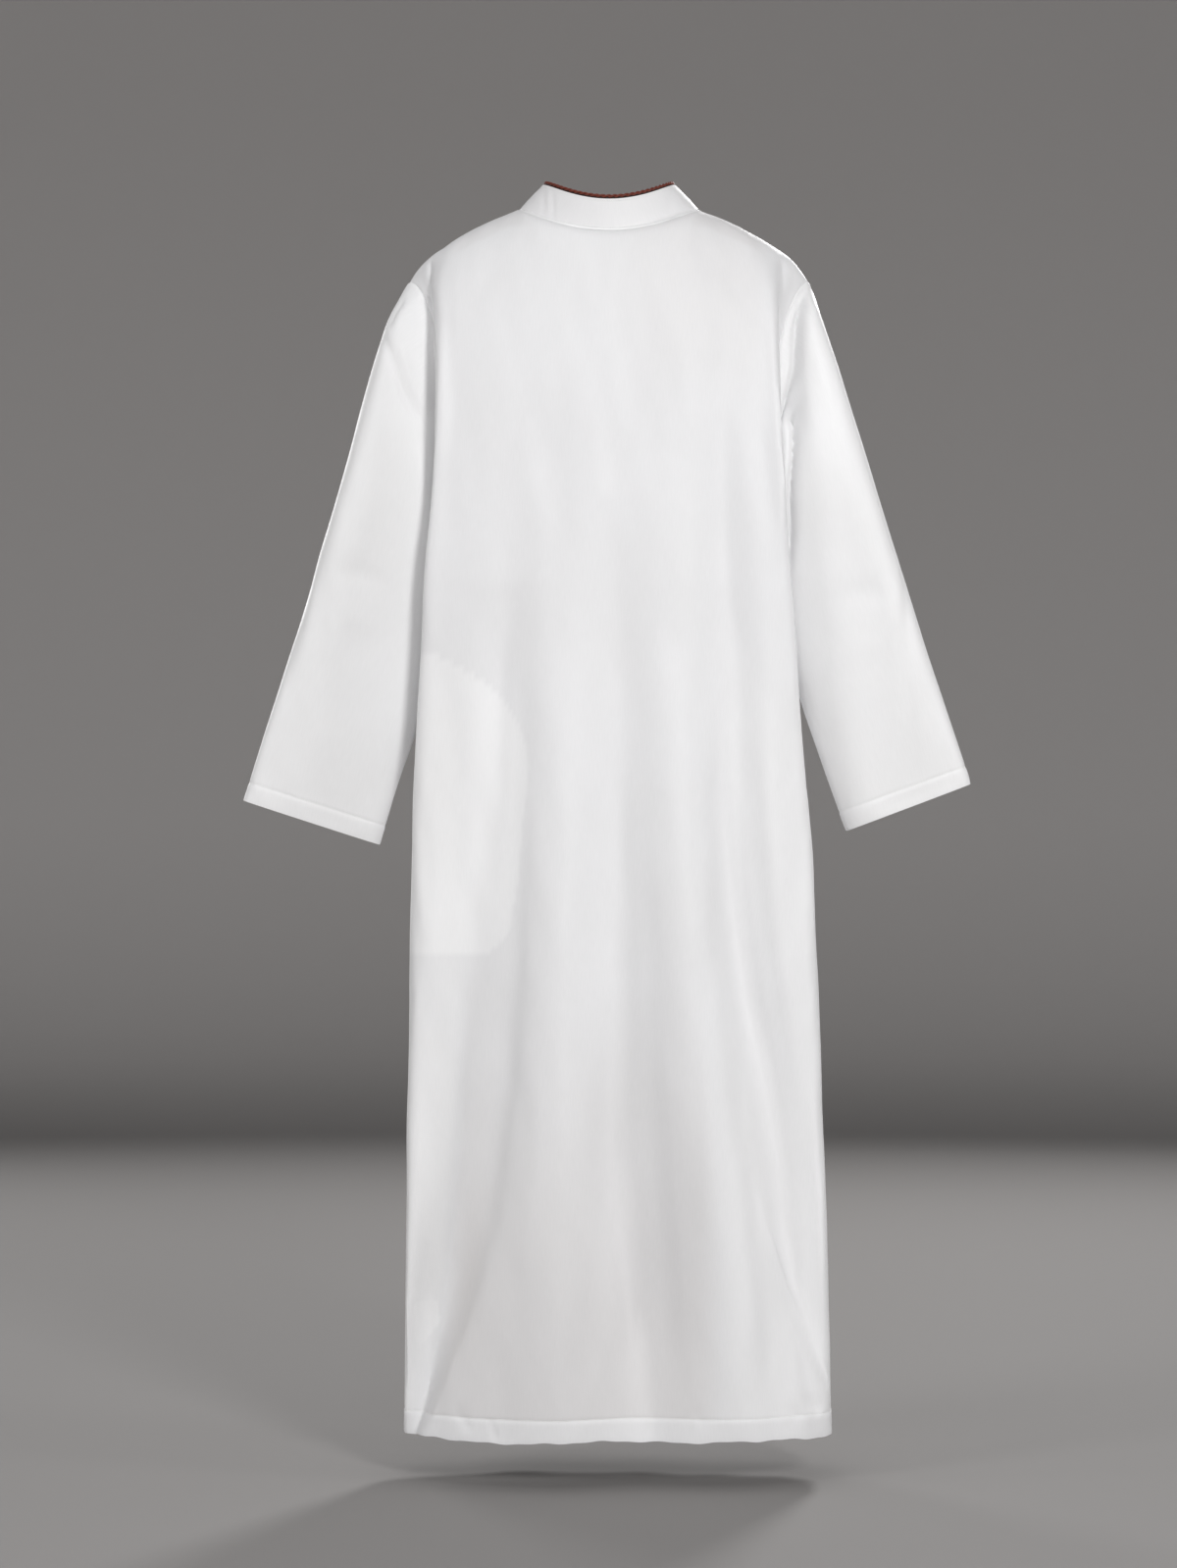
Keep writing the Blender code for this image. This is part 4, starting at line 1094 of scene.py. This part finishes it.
def build_cord(edge, up, material):
    """The twisted cord along the collar's top edge: two strands wound round each other."""
    line, ups = resampled(edge + up * CORD_RISE, 0.55, up)
    across, rise = cross_axes(line, ups)
    distance = np.arange(len(line)) * np.linalg.norm(line[1] - line[0])
    strand = CORD_DIAMETER * 0.29
    strands = []
    for k in range(2):
        phase = 2 * math.pi * distance / CORD_PITCH + k * math.pi
        offset = strand * 0.86 * (np.cos(phase)[:, None] * across + np.sin(phase)[:, None] * rise)
        strands.append(tube(line + offset, ups, strand, 8))
    return make("collar_cord", *merged(strands), material, smooth_angle=70.0)


def build_tape_shadow(edge, up, out, material):
    """The cord's tape, which stands up out of the collar's edge under the cord, near black as a painted
    shadow under the cord.
    """
    corners = ((0.45, -0.6), (0.45, TAPE_HEIGHT), (-0.45, TAPE_HEIGHT), (-0.45, -0.6))
    grid = np.stack([edge + up * rise + out * aside for aside, rise in corners], axis=1)
    count = len(edge)
    faces = grid_faces(count, 4, closed=True).tolist()
    faces += [[3, 2, 1, 0], [4 * count - 4 + k for k in range(4)]]
    return make("collar_tape_shadow", grid.reshape(-1, 3), faces, material)


# ---------------------------------------------------------------------------- placket, buttons and bags


def build_placket(front, material, thread):
    """The strip over the front slit, with its edge stitches and buttonholes."""
    drops = [front.drops[0] + 0.6, *front.drops[1:][front.drops[1:] < PLACKET_DROP - 1.5], PLACKET_DROP]
    edges = np.array([15.4, 16.4, 17])
    offsets = np.concatenate([-edges[::-1], np.linspace(-14.6, 14.6, 15), edges])
    placed, uv = [], []
    for drop in drops:
        row = front.row_at(drop)
        for offset in offsets:
            side = LEFT if offset >= 0 else RIGHT
            line = front.around[side][int(row)]
            placed.append(front.at(side, row, float(np.interp(abs(offset), line, np.arange(COLUMNS)))))
            uv.append((offset, -drop))
    shape = (len(drops), len(offsets), 3)
    points, normals = (np.reshape(part, shape) for part in zip(*placed))
    down = lengths(points, 0)
    from_end = down[-1:] - down
    edge = np.minimum(PLACKET_HALF_WIDTH - np.abs(offsets)[None, :], from_end)
    puff = 0.25 * smooth(edge / 2.0) - 0.3 * bell(edge - PLACKET_STITCH, 0.8)
    puff += 0.18 * np.sin(down / 9.0 + offsets[None, :] / 5.0) * smooth(edge / 6.0)
    low = points + normals * PLACKET_GAP * 0.3
    high = low + normals * (PLACKET_CLOTH + puff)[:, :, None]
    strip = shell("placket_strip", high, low, grid_faces(*shape[:2])[:, ::-1], material, uv, 0.78)
    first, last = 2, len(offsets) - 3
    lines = [(high[:, c] - normals[:, c] * 0.05, normals[:, c]) for c in (first, last)]
    for lift in (PLACKET_STITCH, 9.0):
        row = int(np.argmin(np.abs(from_end[:, 0] - lift)))
        lines.append((high[row, first:last + 1], normals[row, first:last + 1]))
    seams = stitches("placket_stitches", lines, thread)
    holes, places = [], []
    middle = len(offsets) // 2
    for drop in BUTTON_DROPS:
        row = int(np.argmin(np.abs(np.array(drops) - drop)))
        centre, normal = high[row, middle], normals[row, middle]
        places.append((centre, normal))
        way = unit(high[row + 1, middle] - high[row - 1, middle])
        across = np.cross(way, normal)
        for side in (-0.75, 0.75):
            line = np.array([centre + across * side + way * s for s in np.linspace(-8.2, 8.2, 9)])
            holes.append((line, np.tile(normal, (9, 1))))
        for end in (-8.4, 8.4):
            line = np.array([centre + way * end + across * s for s in np.linspace(-1.3, 1.3, 5)])
            holes.append((line, np.tile(normal, (5, 1))))
    bars = stitches("buttonhole_stitches", holes, thread, pitch=0.85, radius=0.42, fill=1.15)
    return strip, [seams, bars], places


def turned_button():
    """A button's points and faces before its holes are drilled."""
    sides = 40
    turn = full_turn(sides)
    rings = [
        np.stack([p.radius * np.cos(turn), p.radius * np.sin(turn), np.full(sides, p.height)], axis=1)
        for p in BUTTON_PROFILE[1:-1]
    ]
    middles = [[0, 0, BUTTON_PROFILE[end].height] for end in (0, -1)]
    top = len(rings) * sides
    last = top - sides
    faces = [face[::-1] for face in grid_faces(len(rings), sides, closed=True).tolist()]
    faces += [[top, k, (k + 1) % sides] for k in range(sides)]
    faces += [[top + 1, last + (k + 1) % sides, last + k] for k in range(sides)]
    return np.concatenate([*rings, middles]), faces


def button_drills():
    """The four round drills that cut a button's holes."""
    sides = 14
    turn = full_turn(sides)
    drills = []
    for at in range(4):
        angle = math.pi / 4 + at * math.pi / 2
        centre = BUTTON_HOLE_OUT * math.sqrt(2) * np.array([math.cos(angle), math.sin(angle)])
        circle = centre + BUTTON_HOLE_RADIUS * np.stack([np.cos(turn), np.sin(turn)], axis=1)
        ends = [np.column_stack([circle, np.full(sides, height)]) for height in (-1.0, 4.0)]
        faces = [[k, (k + 1) % sides, sides + (k + 1) % sides, sides + k] for k in range(sides)]
        faces += [list(range(sides - 1, -1, -1)), list(range(sides, 2 * sides))]
        drills.append((np.concatenate(ends), faces))
    return merged(drills)


def build_buttons(places, material, thread):
    """Four-hole buttons, sewn on with two bars of thread."""
    cutter = place("drill", new_mesh("drill", *button_drills()))
    blank = place("blank", new_mesh("button", *turned_button()))
    cut = blank.modifiers.new("holes", "BOOLEAN")
    cut.operation = "DIFFERENCE"
    cut.solver = "EXACT"
    cut.object = cutter
    bpy.context.view_layer.update()
    drilled = bpy.data.meshes.new_from_object(blank.evaluated_get(bpy.context.evaluated_depsgraph_get()))
    for tool in (blank, cutter):
        bpy.data.objects.remove(tool)
    drilled.shade_smooth()
    drilled.set_sharp_from_angle(angle=math.radians(45))
    drilled.materials.clear()
    drilled.materials.append(material)
    pieces, lines = [], []
    for number, (point, normal) in enumerate(places, start=1):
        button = place(f"button_disc_{number}", drilled.copy())
        button.location = Vector((point + normal * BUTTON_SEAT) * MM)
        facing = Vector(normal).to_track_quat("Z", "X")
        button.rotation_euler = facing.to_euler()
        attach(button, "root")
        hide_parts(f"button_{number}")
        pieces.append(button)
        matrix = facing.to_matrix()
        for side in (-1, 1):
            bar = []
            for end in np.linspace(-1.0, 1.0, 7):
                height = 2.1 + 0.35 * (1 - end * end) - 0.5 * (abs(end) > 0.9) + BUTTON_SEAT
                local = Vector((side * BUTTON_HOLE_OUT, end * BUTTON_HOLE_OUT, height))
                bar.append(point + np.array(matrix @ local))
            for shift in (-0.2, 0.2):
                slide = np.array(matrix @ Vector((shift, 0, 0)))
                lines.append((np.array(bar) + slide, np.tile(normal, (7, 1))))
        shank = np.array([point + normal * s for s in np.linspace(-0.1, 0.5, 4)])
        lines.append((shank, np.tile(np.array(matrix @ Vector((1, 0, 0))), (4, 1))))
    bars = stitches("button_thread", lines, thread, pitch=3.4, radius=0.3, fill=1.25)
    return pieces, bars


def build_bag(side, back, material):
    """A side pocket's bag, two plies pressed together against the inside of the back."""
    top, foot = BAG_OUTLINE[0].drop, BAG_OUTLINE[-1].drop
    outer, inner, uv = [], [], []
    for drop in np.linspace(top, foot, BAG_ROWS):
        edge = read(BAG_OUTLINE, "reach", drop)
        inward = np.linspace(SEAM_MARGIN, edge - 9, BAG_COLUMNS - len(BAG_RIM))
        for reach in np.concatenate([inward, edge - BAG_RIM]):
            point, normal = back.by_reach(side, drop, reach)
            from_edge = min(edge - reach, foot - drop, drop - top + 4)
            seam = math.exp(-(((from_edge - 5.0) / 0.9) ** 2))
            wave = 0.5 * math.sin(reach / 17 + drop / 43) * min(from_edge / 20, 1.0)
            half = BAG_CLOTH / 2 * (0.75 + 0.25 * min(from_edge / 8, 1.0)) - 0.25 * seam
            centre = point - normal * (CLOTH + BAG_GAP + BAG_CLOTH / 2 + wave * 0.5)
            outer.append(centre + normal * half)
            inner.append(centre - normal * half)
            uv.append((reach, -drop))
    faces = grid_faces(BAG_ROWS, BAG_COLUMNS)
    if side == LEFT:
        faces = faces[:, ::-1]
    return shell("pocket_lining_" + SIDE_NAME[side], outer, inner, faces, material, uv, 0.7)


def build_label(material):
    """The bare care label, caught in the left side seam above the hem."""
    start = read(BODY, "seam_left", LABEL_DROP) - CLOTH - 0.4
    lift = np.array([math.sin(LABEL_YAW), math.cos(LABEL_YAW), 0.0]) * LABEL_CLOTH / 2
    rows, columns = 16, 14
    outer, inner, uv = [], [], []
    for i in range(rows):
        for j in range(columns):
            run, down = LABEL_WIDTH * j / (columns - 1), LABEL_HEIGHT * i / (rows - 1)
            curl = 1.1 * math.sin(run / 13.0) + 0.5 * math.sin(down / 15.0 + 0.6)
            centre = np.array([
                start - run * math.cos(LABEL_YAW),
                run * math.sin(LABEL_YAW) + curl,
                LABEL_RISE * run / LABEL_WIDTH - LABEL_DROP - down,
            ])
            outer.append(centre + lift)
            inner.append(centre - lift)
            uv.append((run, -down))
    return shell("label_bare", outer, inner, grid_faces(rows, columns)[:, ::-1], material, uv, 0.9)


# ---------------------------------------------------------------------------- materials


# What a wave texture of scale 1 repeats after, in metres.
WAVE_PERIOD = 0.314

# Cloths: name, colours where sheer, single and doubled, roughness, sheen and depth of weave.
CLOTHS = [
    ("cloth_white", (0.67, 0.65, 0.648), (0.80, 0.80, 0.812), (0.90, 0.90, 0.906), 0.5, 0.12, 0.25),
    ("cloth_pocket", (0.70, 0.70, 0.68), (0.80, 0.80, 0.78), (0.87, 0.87, 0.85), 0.85, 0.1, 0.35),
    ("label_satin", (0.80, 0.80, 0.80), (0.84, 0.84, 0.84), (0.88, 0.88, 0.88), 0.45, 0.05, 0.5),
]

# Threads and cords: name, colour, colour between the fibres, roughness, fineness and sheen.
THREADS = [
    ("thread_white", (0.88, 0.88, 0.87), (0.78, 0.78, 0.77), 0.6, 2600.0, 0.3),
    ("cord_rust", (0.21, 0.026, 0.006), (0.045, 0.006, 0.002), 0.55, 1500.0, 0.0),
    # The tape's near-black colour is a painted shadow under the cord.
    ("tape_shadow_dark", (0.02, 0.006, 0.004), (0.01, 0.004, 0.003), 0.8, 1500.0, 0.0),
]


class Surface:
    """A material and its shader nodes."""

    def __init__(self, name, **looks):
        self.material = bpy.data.materials.new(name)
        self.material.use_nodes = True
        self.tree = self.material.node_tree
        self.shader = self.tree.nodes["Principled BSDF"]
        self.feed(self.shader, {look.replace("_", " "): value for look, value in looks.items()})

    def feed(self, node, inputs):
        """Sets a node's inputs, each to a value or to another node's output."""
        for name, value in inputs.items():
            if isinstance(value, bpy.types.NodeSocket):
                self.tree.links.new(value, node.inputs[name])
            else:
                node.inputs[name].default_value = value

    def add(self, kind, output, inputs, **settings):
        """The output of a new node, made with its settings and inputs."""
        node = self.tree.nodes.new("ShaderNode" + kind)
        for name, value in settings.items():
            setattr(node, name, value)
        self.feed(node, inputs)
        return node.outputs[output]

    def ramp(self, value, low, low_colour, high, high_colour, middle=None):
        """A colour that follows a value, from one at low to another at high, by way of a middle one."""
        colour = self.add("ValToRGB", "Color", {"Fac": value})
        stops = [(low, low_colour), (high, high_colour)]
        if middle:
            stops.insert(1, middle)
        elements = colour.node.color_ramp.elements
        while len(elements) < len(stops):
            elements.new(0.5)
        for element, (position, shade) in zip(elements, stops):
            element.position = position
            element.color = (*shade, 1.0)
        return colour

    def noise(self, scale, **inputs):
        """Noise over the robe's own space."""
        where = self.add("TexCoord", "Object", {})
        return self.add("TexNoise", "Fac", {"Vector": where, "Scale": scale, **inputs})

    def relief(self, height, strength, distance):
        """Relief that follows a height from 0 to 1, where 1 stands out by the distance in millimetres."""
        bump = {"Height": height, "Strength": strength, "Distance": distance * MM}
        self.feed(self.shader, {"Normal": self.add("Bump", "Normal", bump)})

    def weave(self, strength):
        """A plain weave in relief: two sets of threads crossing, with some slubs."""
        where = self.add("UVMap", "UV", {}, uv_map="cloth")
        threads = {"Vector": where, "Scale": WAVE_PERIOD / (THREAD * MM), "Distortion": 0.4, "Detail": 1.0}
        waves = [
            self.add("TexWave", "Fac", threads, wave_type="BANDS", bands_direction=direction)
            for direction in ("X", "Y")
        ]
        crossing = self.add("Math", "Value", dict(enumerate(waves)), operation="MULTIPLY")
        stretched = self.add("Mapping", "Vector", {"Vector": where, "Scale": (900.0, 60.0, 1.0)})
        slubs = self.add("TexNoise", "Fac", {"Vector": stretched, "Scale": 1.0, "Detail": 3.0})
        both = self.add("Math", "Value", {0: slubs, 1: 0.25, 2: crossing}, operation="MULTIPLY_ADD")
        self.relief(both, strength, 0.12)
        return slubs


def cloth_material(name, sheer, single, doubled, roughness, sheen, weave):
    """White cloth whose colour follows the tone attribute, with a woven surface."""
    cloth = Surface(name, Roughness=roughness, Sheen_Weight=sheen, Sheen_Roughness=0.45)
    cloth.feed(cloth.shader, {"Specular IOR Level": 0.5})
    tone = cloth.add("Attribute", "Fac", {}, attribute_name="tone")
    colour = cloth.ramp(tone, 0.0, sheer, 1.0, doubled, middle=(0.5, single))
    slubs = cloth.weave(weave)
    blotches = cloth.noise(7.0, Detail=3.0)
    white = (1.0, 1.0, 1.0)
    for shade in (
        cloth.ramp(blotches, 0.3, (0.972, 0.970, 0.966), 0.7, white),
        cloth.ramp(slubs, 0.35, (0.975, 0.975, 0.975), 0.65, white),
    ):
        mix = {"Factor": 1.0, "A": colour, "B": shade}
        colour = cloth.add("Mix", "Result", mix, data_type="RGBA", blend_type="MULTIPLY")
    cloth.feed(cloth.shader, {"Base Color": colour})
    return cloth.material


def thread_material(name, colour, dark, roughness, scale, sheen=0.3):
    """Thread or cord: fine twisted fibres in relief."""
    thread = Surface(name, Roughness=roughness, Sheen_Weight=sheen)
    fibres = thread.noise(scale, Detail=4.0)
    thread.feed(thread.shader, {"Base Color": thread.ramp(fibres, 0.3, dark, 0.68, colour)})
    thread.relief(fibres, 0.35, 0.15)
    return thread.material


def button_material():
    """Pearly white plastic, faintly cloudy."""
    pearl = Surface("button_pearl", Roughness=0.22, Coat_Weight=0.3)
    swirl = pearl.noise(260.0, Distortion=2.2)
    pearl.feed(pearl.shader, {
        "Base Color": pearl.ramp(swirl, 0.3, (0.72, 0.71, 0.67), 0.7, (0.88, 0.87, 0.84)),
        "Roughness": pearl.ramp(swirl, 0.3, (0.16, 0.16, 0.16), 0.8, (0.3, 0.3, 0.3)),
    })
    return pearl.material


def floor_material():
    """A plain grey, darker near the robe and paler further off: painted shade that evens out the light,
    which falls strongest near the robe.
    """
    pale = Surface("floor_pale", Roughness=0.9)
    where = pale.add("TexCoord", "Object", {})
    nearer = pale.add("Mapping", "Vector", {"Vector": where, "Scale": (0.1, 0.1, 0.1)})
    away = pale.add("TexGradient", "Fac", {"Vector": nearer}, gradient_type="SPHERICAL")
    shade = pale.ramp(away, 0.1, (0.60, 0.58, 0.57), 0.48, (0.235, 0.225, 0.22))
    pale.feed(pale.shader, {"Base Color": shade})
    return pale.material


# ---------------------------------------------------------------------------- stage, light and camera


# Name, place in metres, size in metres and power in watts. All of them face one point of the robe.
LIGHTS = [
    ("key", (-1.62, 4.78, 0.95), 1.0, 57.5),
    ("fill", (3.9, 3.5, 0.6), 1.6, 33.0),
    ("rim", (-4.8, 2.2, -0.3), 1.2, 27.0),
    ("left_rim", (4.9, 1.3, -0.2), 1.2, 8.5),
    ("top", (0.3, 2.0, 3.2), 1.6, 6.0),
    ("front_key", (-1.62, -4.78, 1.5), 1.0, 67.0),
    ("front_fill", (2.4, -4.6, 0.4), 1.6, 24.0),
]
LIT_POINT = (0.0, 0.0, -0.72)

# The camera's distance from the robe, and the height of what it sees there, in metres.
CAMERA_AWAY = 5.0
VIEW_HEIGHT = 1.80687


def build_stage():
    """A grey floor that curves up all round into a plain backdrop."""
    low, flat, rise, top = -1455.0, 7000.0, 3200.0, 9000.0
    profile = [(900.0, low), (flat, low)]
    profile += [
        (flat + rise * math.sin(turn), low + rise * (1 - math.cos(turn)))
        for turn in np.linspace(0, math.pi / 2, 14)[1:]
    ]
    profile.append((flat + rise, top))
    sides = 96
    points = [[0.0, 0.0, low]]
    for radius, height in profile:
        points += [[radius * math.cos(a), radius * math.sin(a), height] for a in full_turn(sides)]
    faces = [[0, 1 + k, 1 + (k + 1) % sides] for k in range(sides)]
    faces += (grid_faces(len(profile), sides, closed=True)[:, ::-1] + 1).tolist()
    mesh = new_mesh("floor", points, faces)
    mesh.shade_smooth()
    mesh.materials.append(floor_material())
    place("floor", mesh)


def area_light(name, spot, size, power):
    data = bpy.data.lights.new(name, "AREA")
    data.shape = "DISK"
    data.size = size
    data.energy = power
    data.spread = math.radians(120)
    light = place(name, data)
    light.location = spot
    light.rotation_euler = (Vector(LIT_POINT) - Vector(spot)).to_track_quat("-Z", "Y").to_euler()
    light.visible_camera = False


def build_camera():
    data = bpy.data.cameras.new("camera")
    data.sensor_fit = "AUTO"
    data.sensor_width = 24.0
    data.lens = 24.0 * CAMERA_AWAY / VIEW_HEIGHT
    data.clip_end = 60.0
    camera = place("camera", data)
    camera.location = (0.0237, CAMERA_AWAY, -0.659)
    camera.rotation_euler = (math.pi / 2, 0.0, math.pi)
    bpy.context.scene.camera = camera


def build_light():
    world = bpy.data.worlds.new("world")
    bpy.context.scene.world = world
    world.use_nodes = True
    background = world.node_tree.nodes["Background"]
    background.inputs["Color"].default_value = (0.98, 0.99, 1.0, 1.0)
    background.inputs["Strength"].default_value = 0.4
    for light in LIGHTS:
        area_light(*light)
    bpy.context.scene.view_settings.view_transform = "Standard"


# ---------------------------------------------------------------------------- the robe


def main():
    build_camera()
    build_light()
    build_stage()
    white, lining, satin = (cloth_material(*row) for row in CLOTHS)
    thread, rust, shadow_dark = (thread_material(*row) for row in THREADS)

    panels = {face: Panel(face) for face in (BACK, FRONT)}
    back, front = panels[BACK], panels[FRONT]
    match_seams(back, front)
    sleeves = {side: Sleeve(side) for side in (LEFT, RIGHT)}
    for sleeve in sleeves.values():
        match_armhole(sleeve, back, front)
    for part in (back, front, *sleeves.values()):
        part.shape()
    match_seams(back, front)

    back_cloth = back.build("back_cloth", 0.0, white)
    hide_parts("back_panel")
    front_cloth = front.build("front_cloth", PLACKET_DROP - HEM_BAND, white)
    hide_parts("front_panel")
    for side, sleeve in sleeves.items():
        sleeve.build(white)
        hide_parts("sleeve_" + SIDE_NAME[side])
    collar, collar_seams, edge, up, out = build_collar(white, thread)
    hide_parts("collar")
    cord = build_cord(edge, up, rust)
    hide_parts("collar_piping")
    # The tape under the cord, near black: a painted shadow.
    tape = build_tape_shadow(edge, up, out, shadow_dark)
    strip, strip_seams, places = build_placket(front, white, thread)
    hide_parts("placket")
    buttons, button_bars = build_buttons(places, button_material(), thread)
    bags = {side: build_bag(side, back, lining) for side in (LEFT, RIGHT)}
    for side, bag in bags.items():
        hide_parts("pocket_bag_" + SIDE_NAME[side])
    label = build_label(satin)
    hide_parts("care_label")

    hems = {
        face: stitches(f"hem_stitches_{FACE_NAME[face]}", [panel.hem_line()], thread)
        for face, panel in panels.items()
    }
    cuffs = {
        side: stitches(f"cuff_stitches_{SIDE_NAME[side]}", [sleeve.cuff_line()], thread)
        for side, sleeve in sleeves.items()
    }
    mouths = []
    for side in (LEFT, RIGHT):
        mouths.append([front.by_reach(side, drop, 5.0) for drop in np.linspace(*POCKET_MOUTH, 40)])
        for drop in POCKET_MOUTH:
            mouths.append([front.by_reach(side, drop, reach) for reach in np.linspace(0.8, 8.0, 8)])
    mouths = [[np.array(part) for part in zip(*mouth)] for mouth in mouths]
    pocket_seams = stitches("pocket_stitches", mouths, thread)


main()
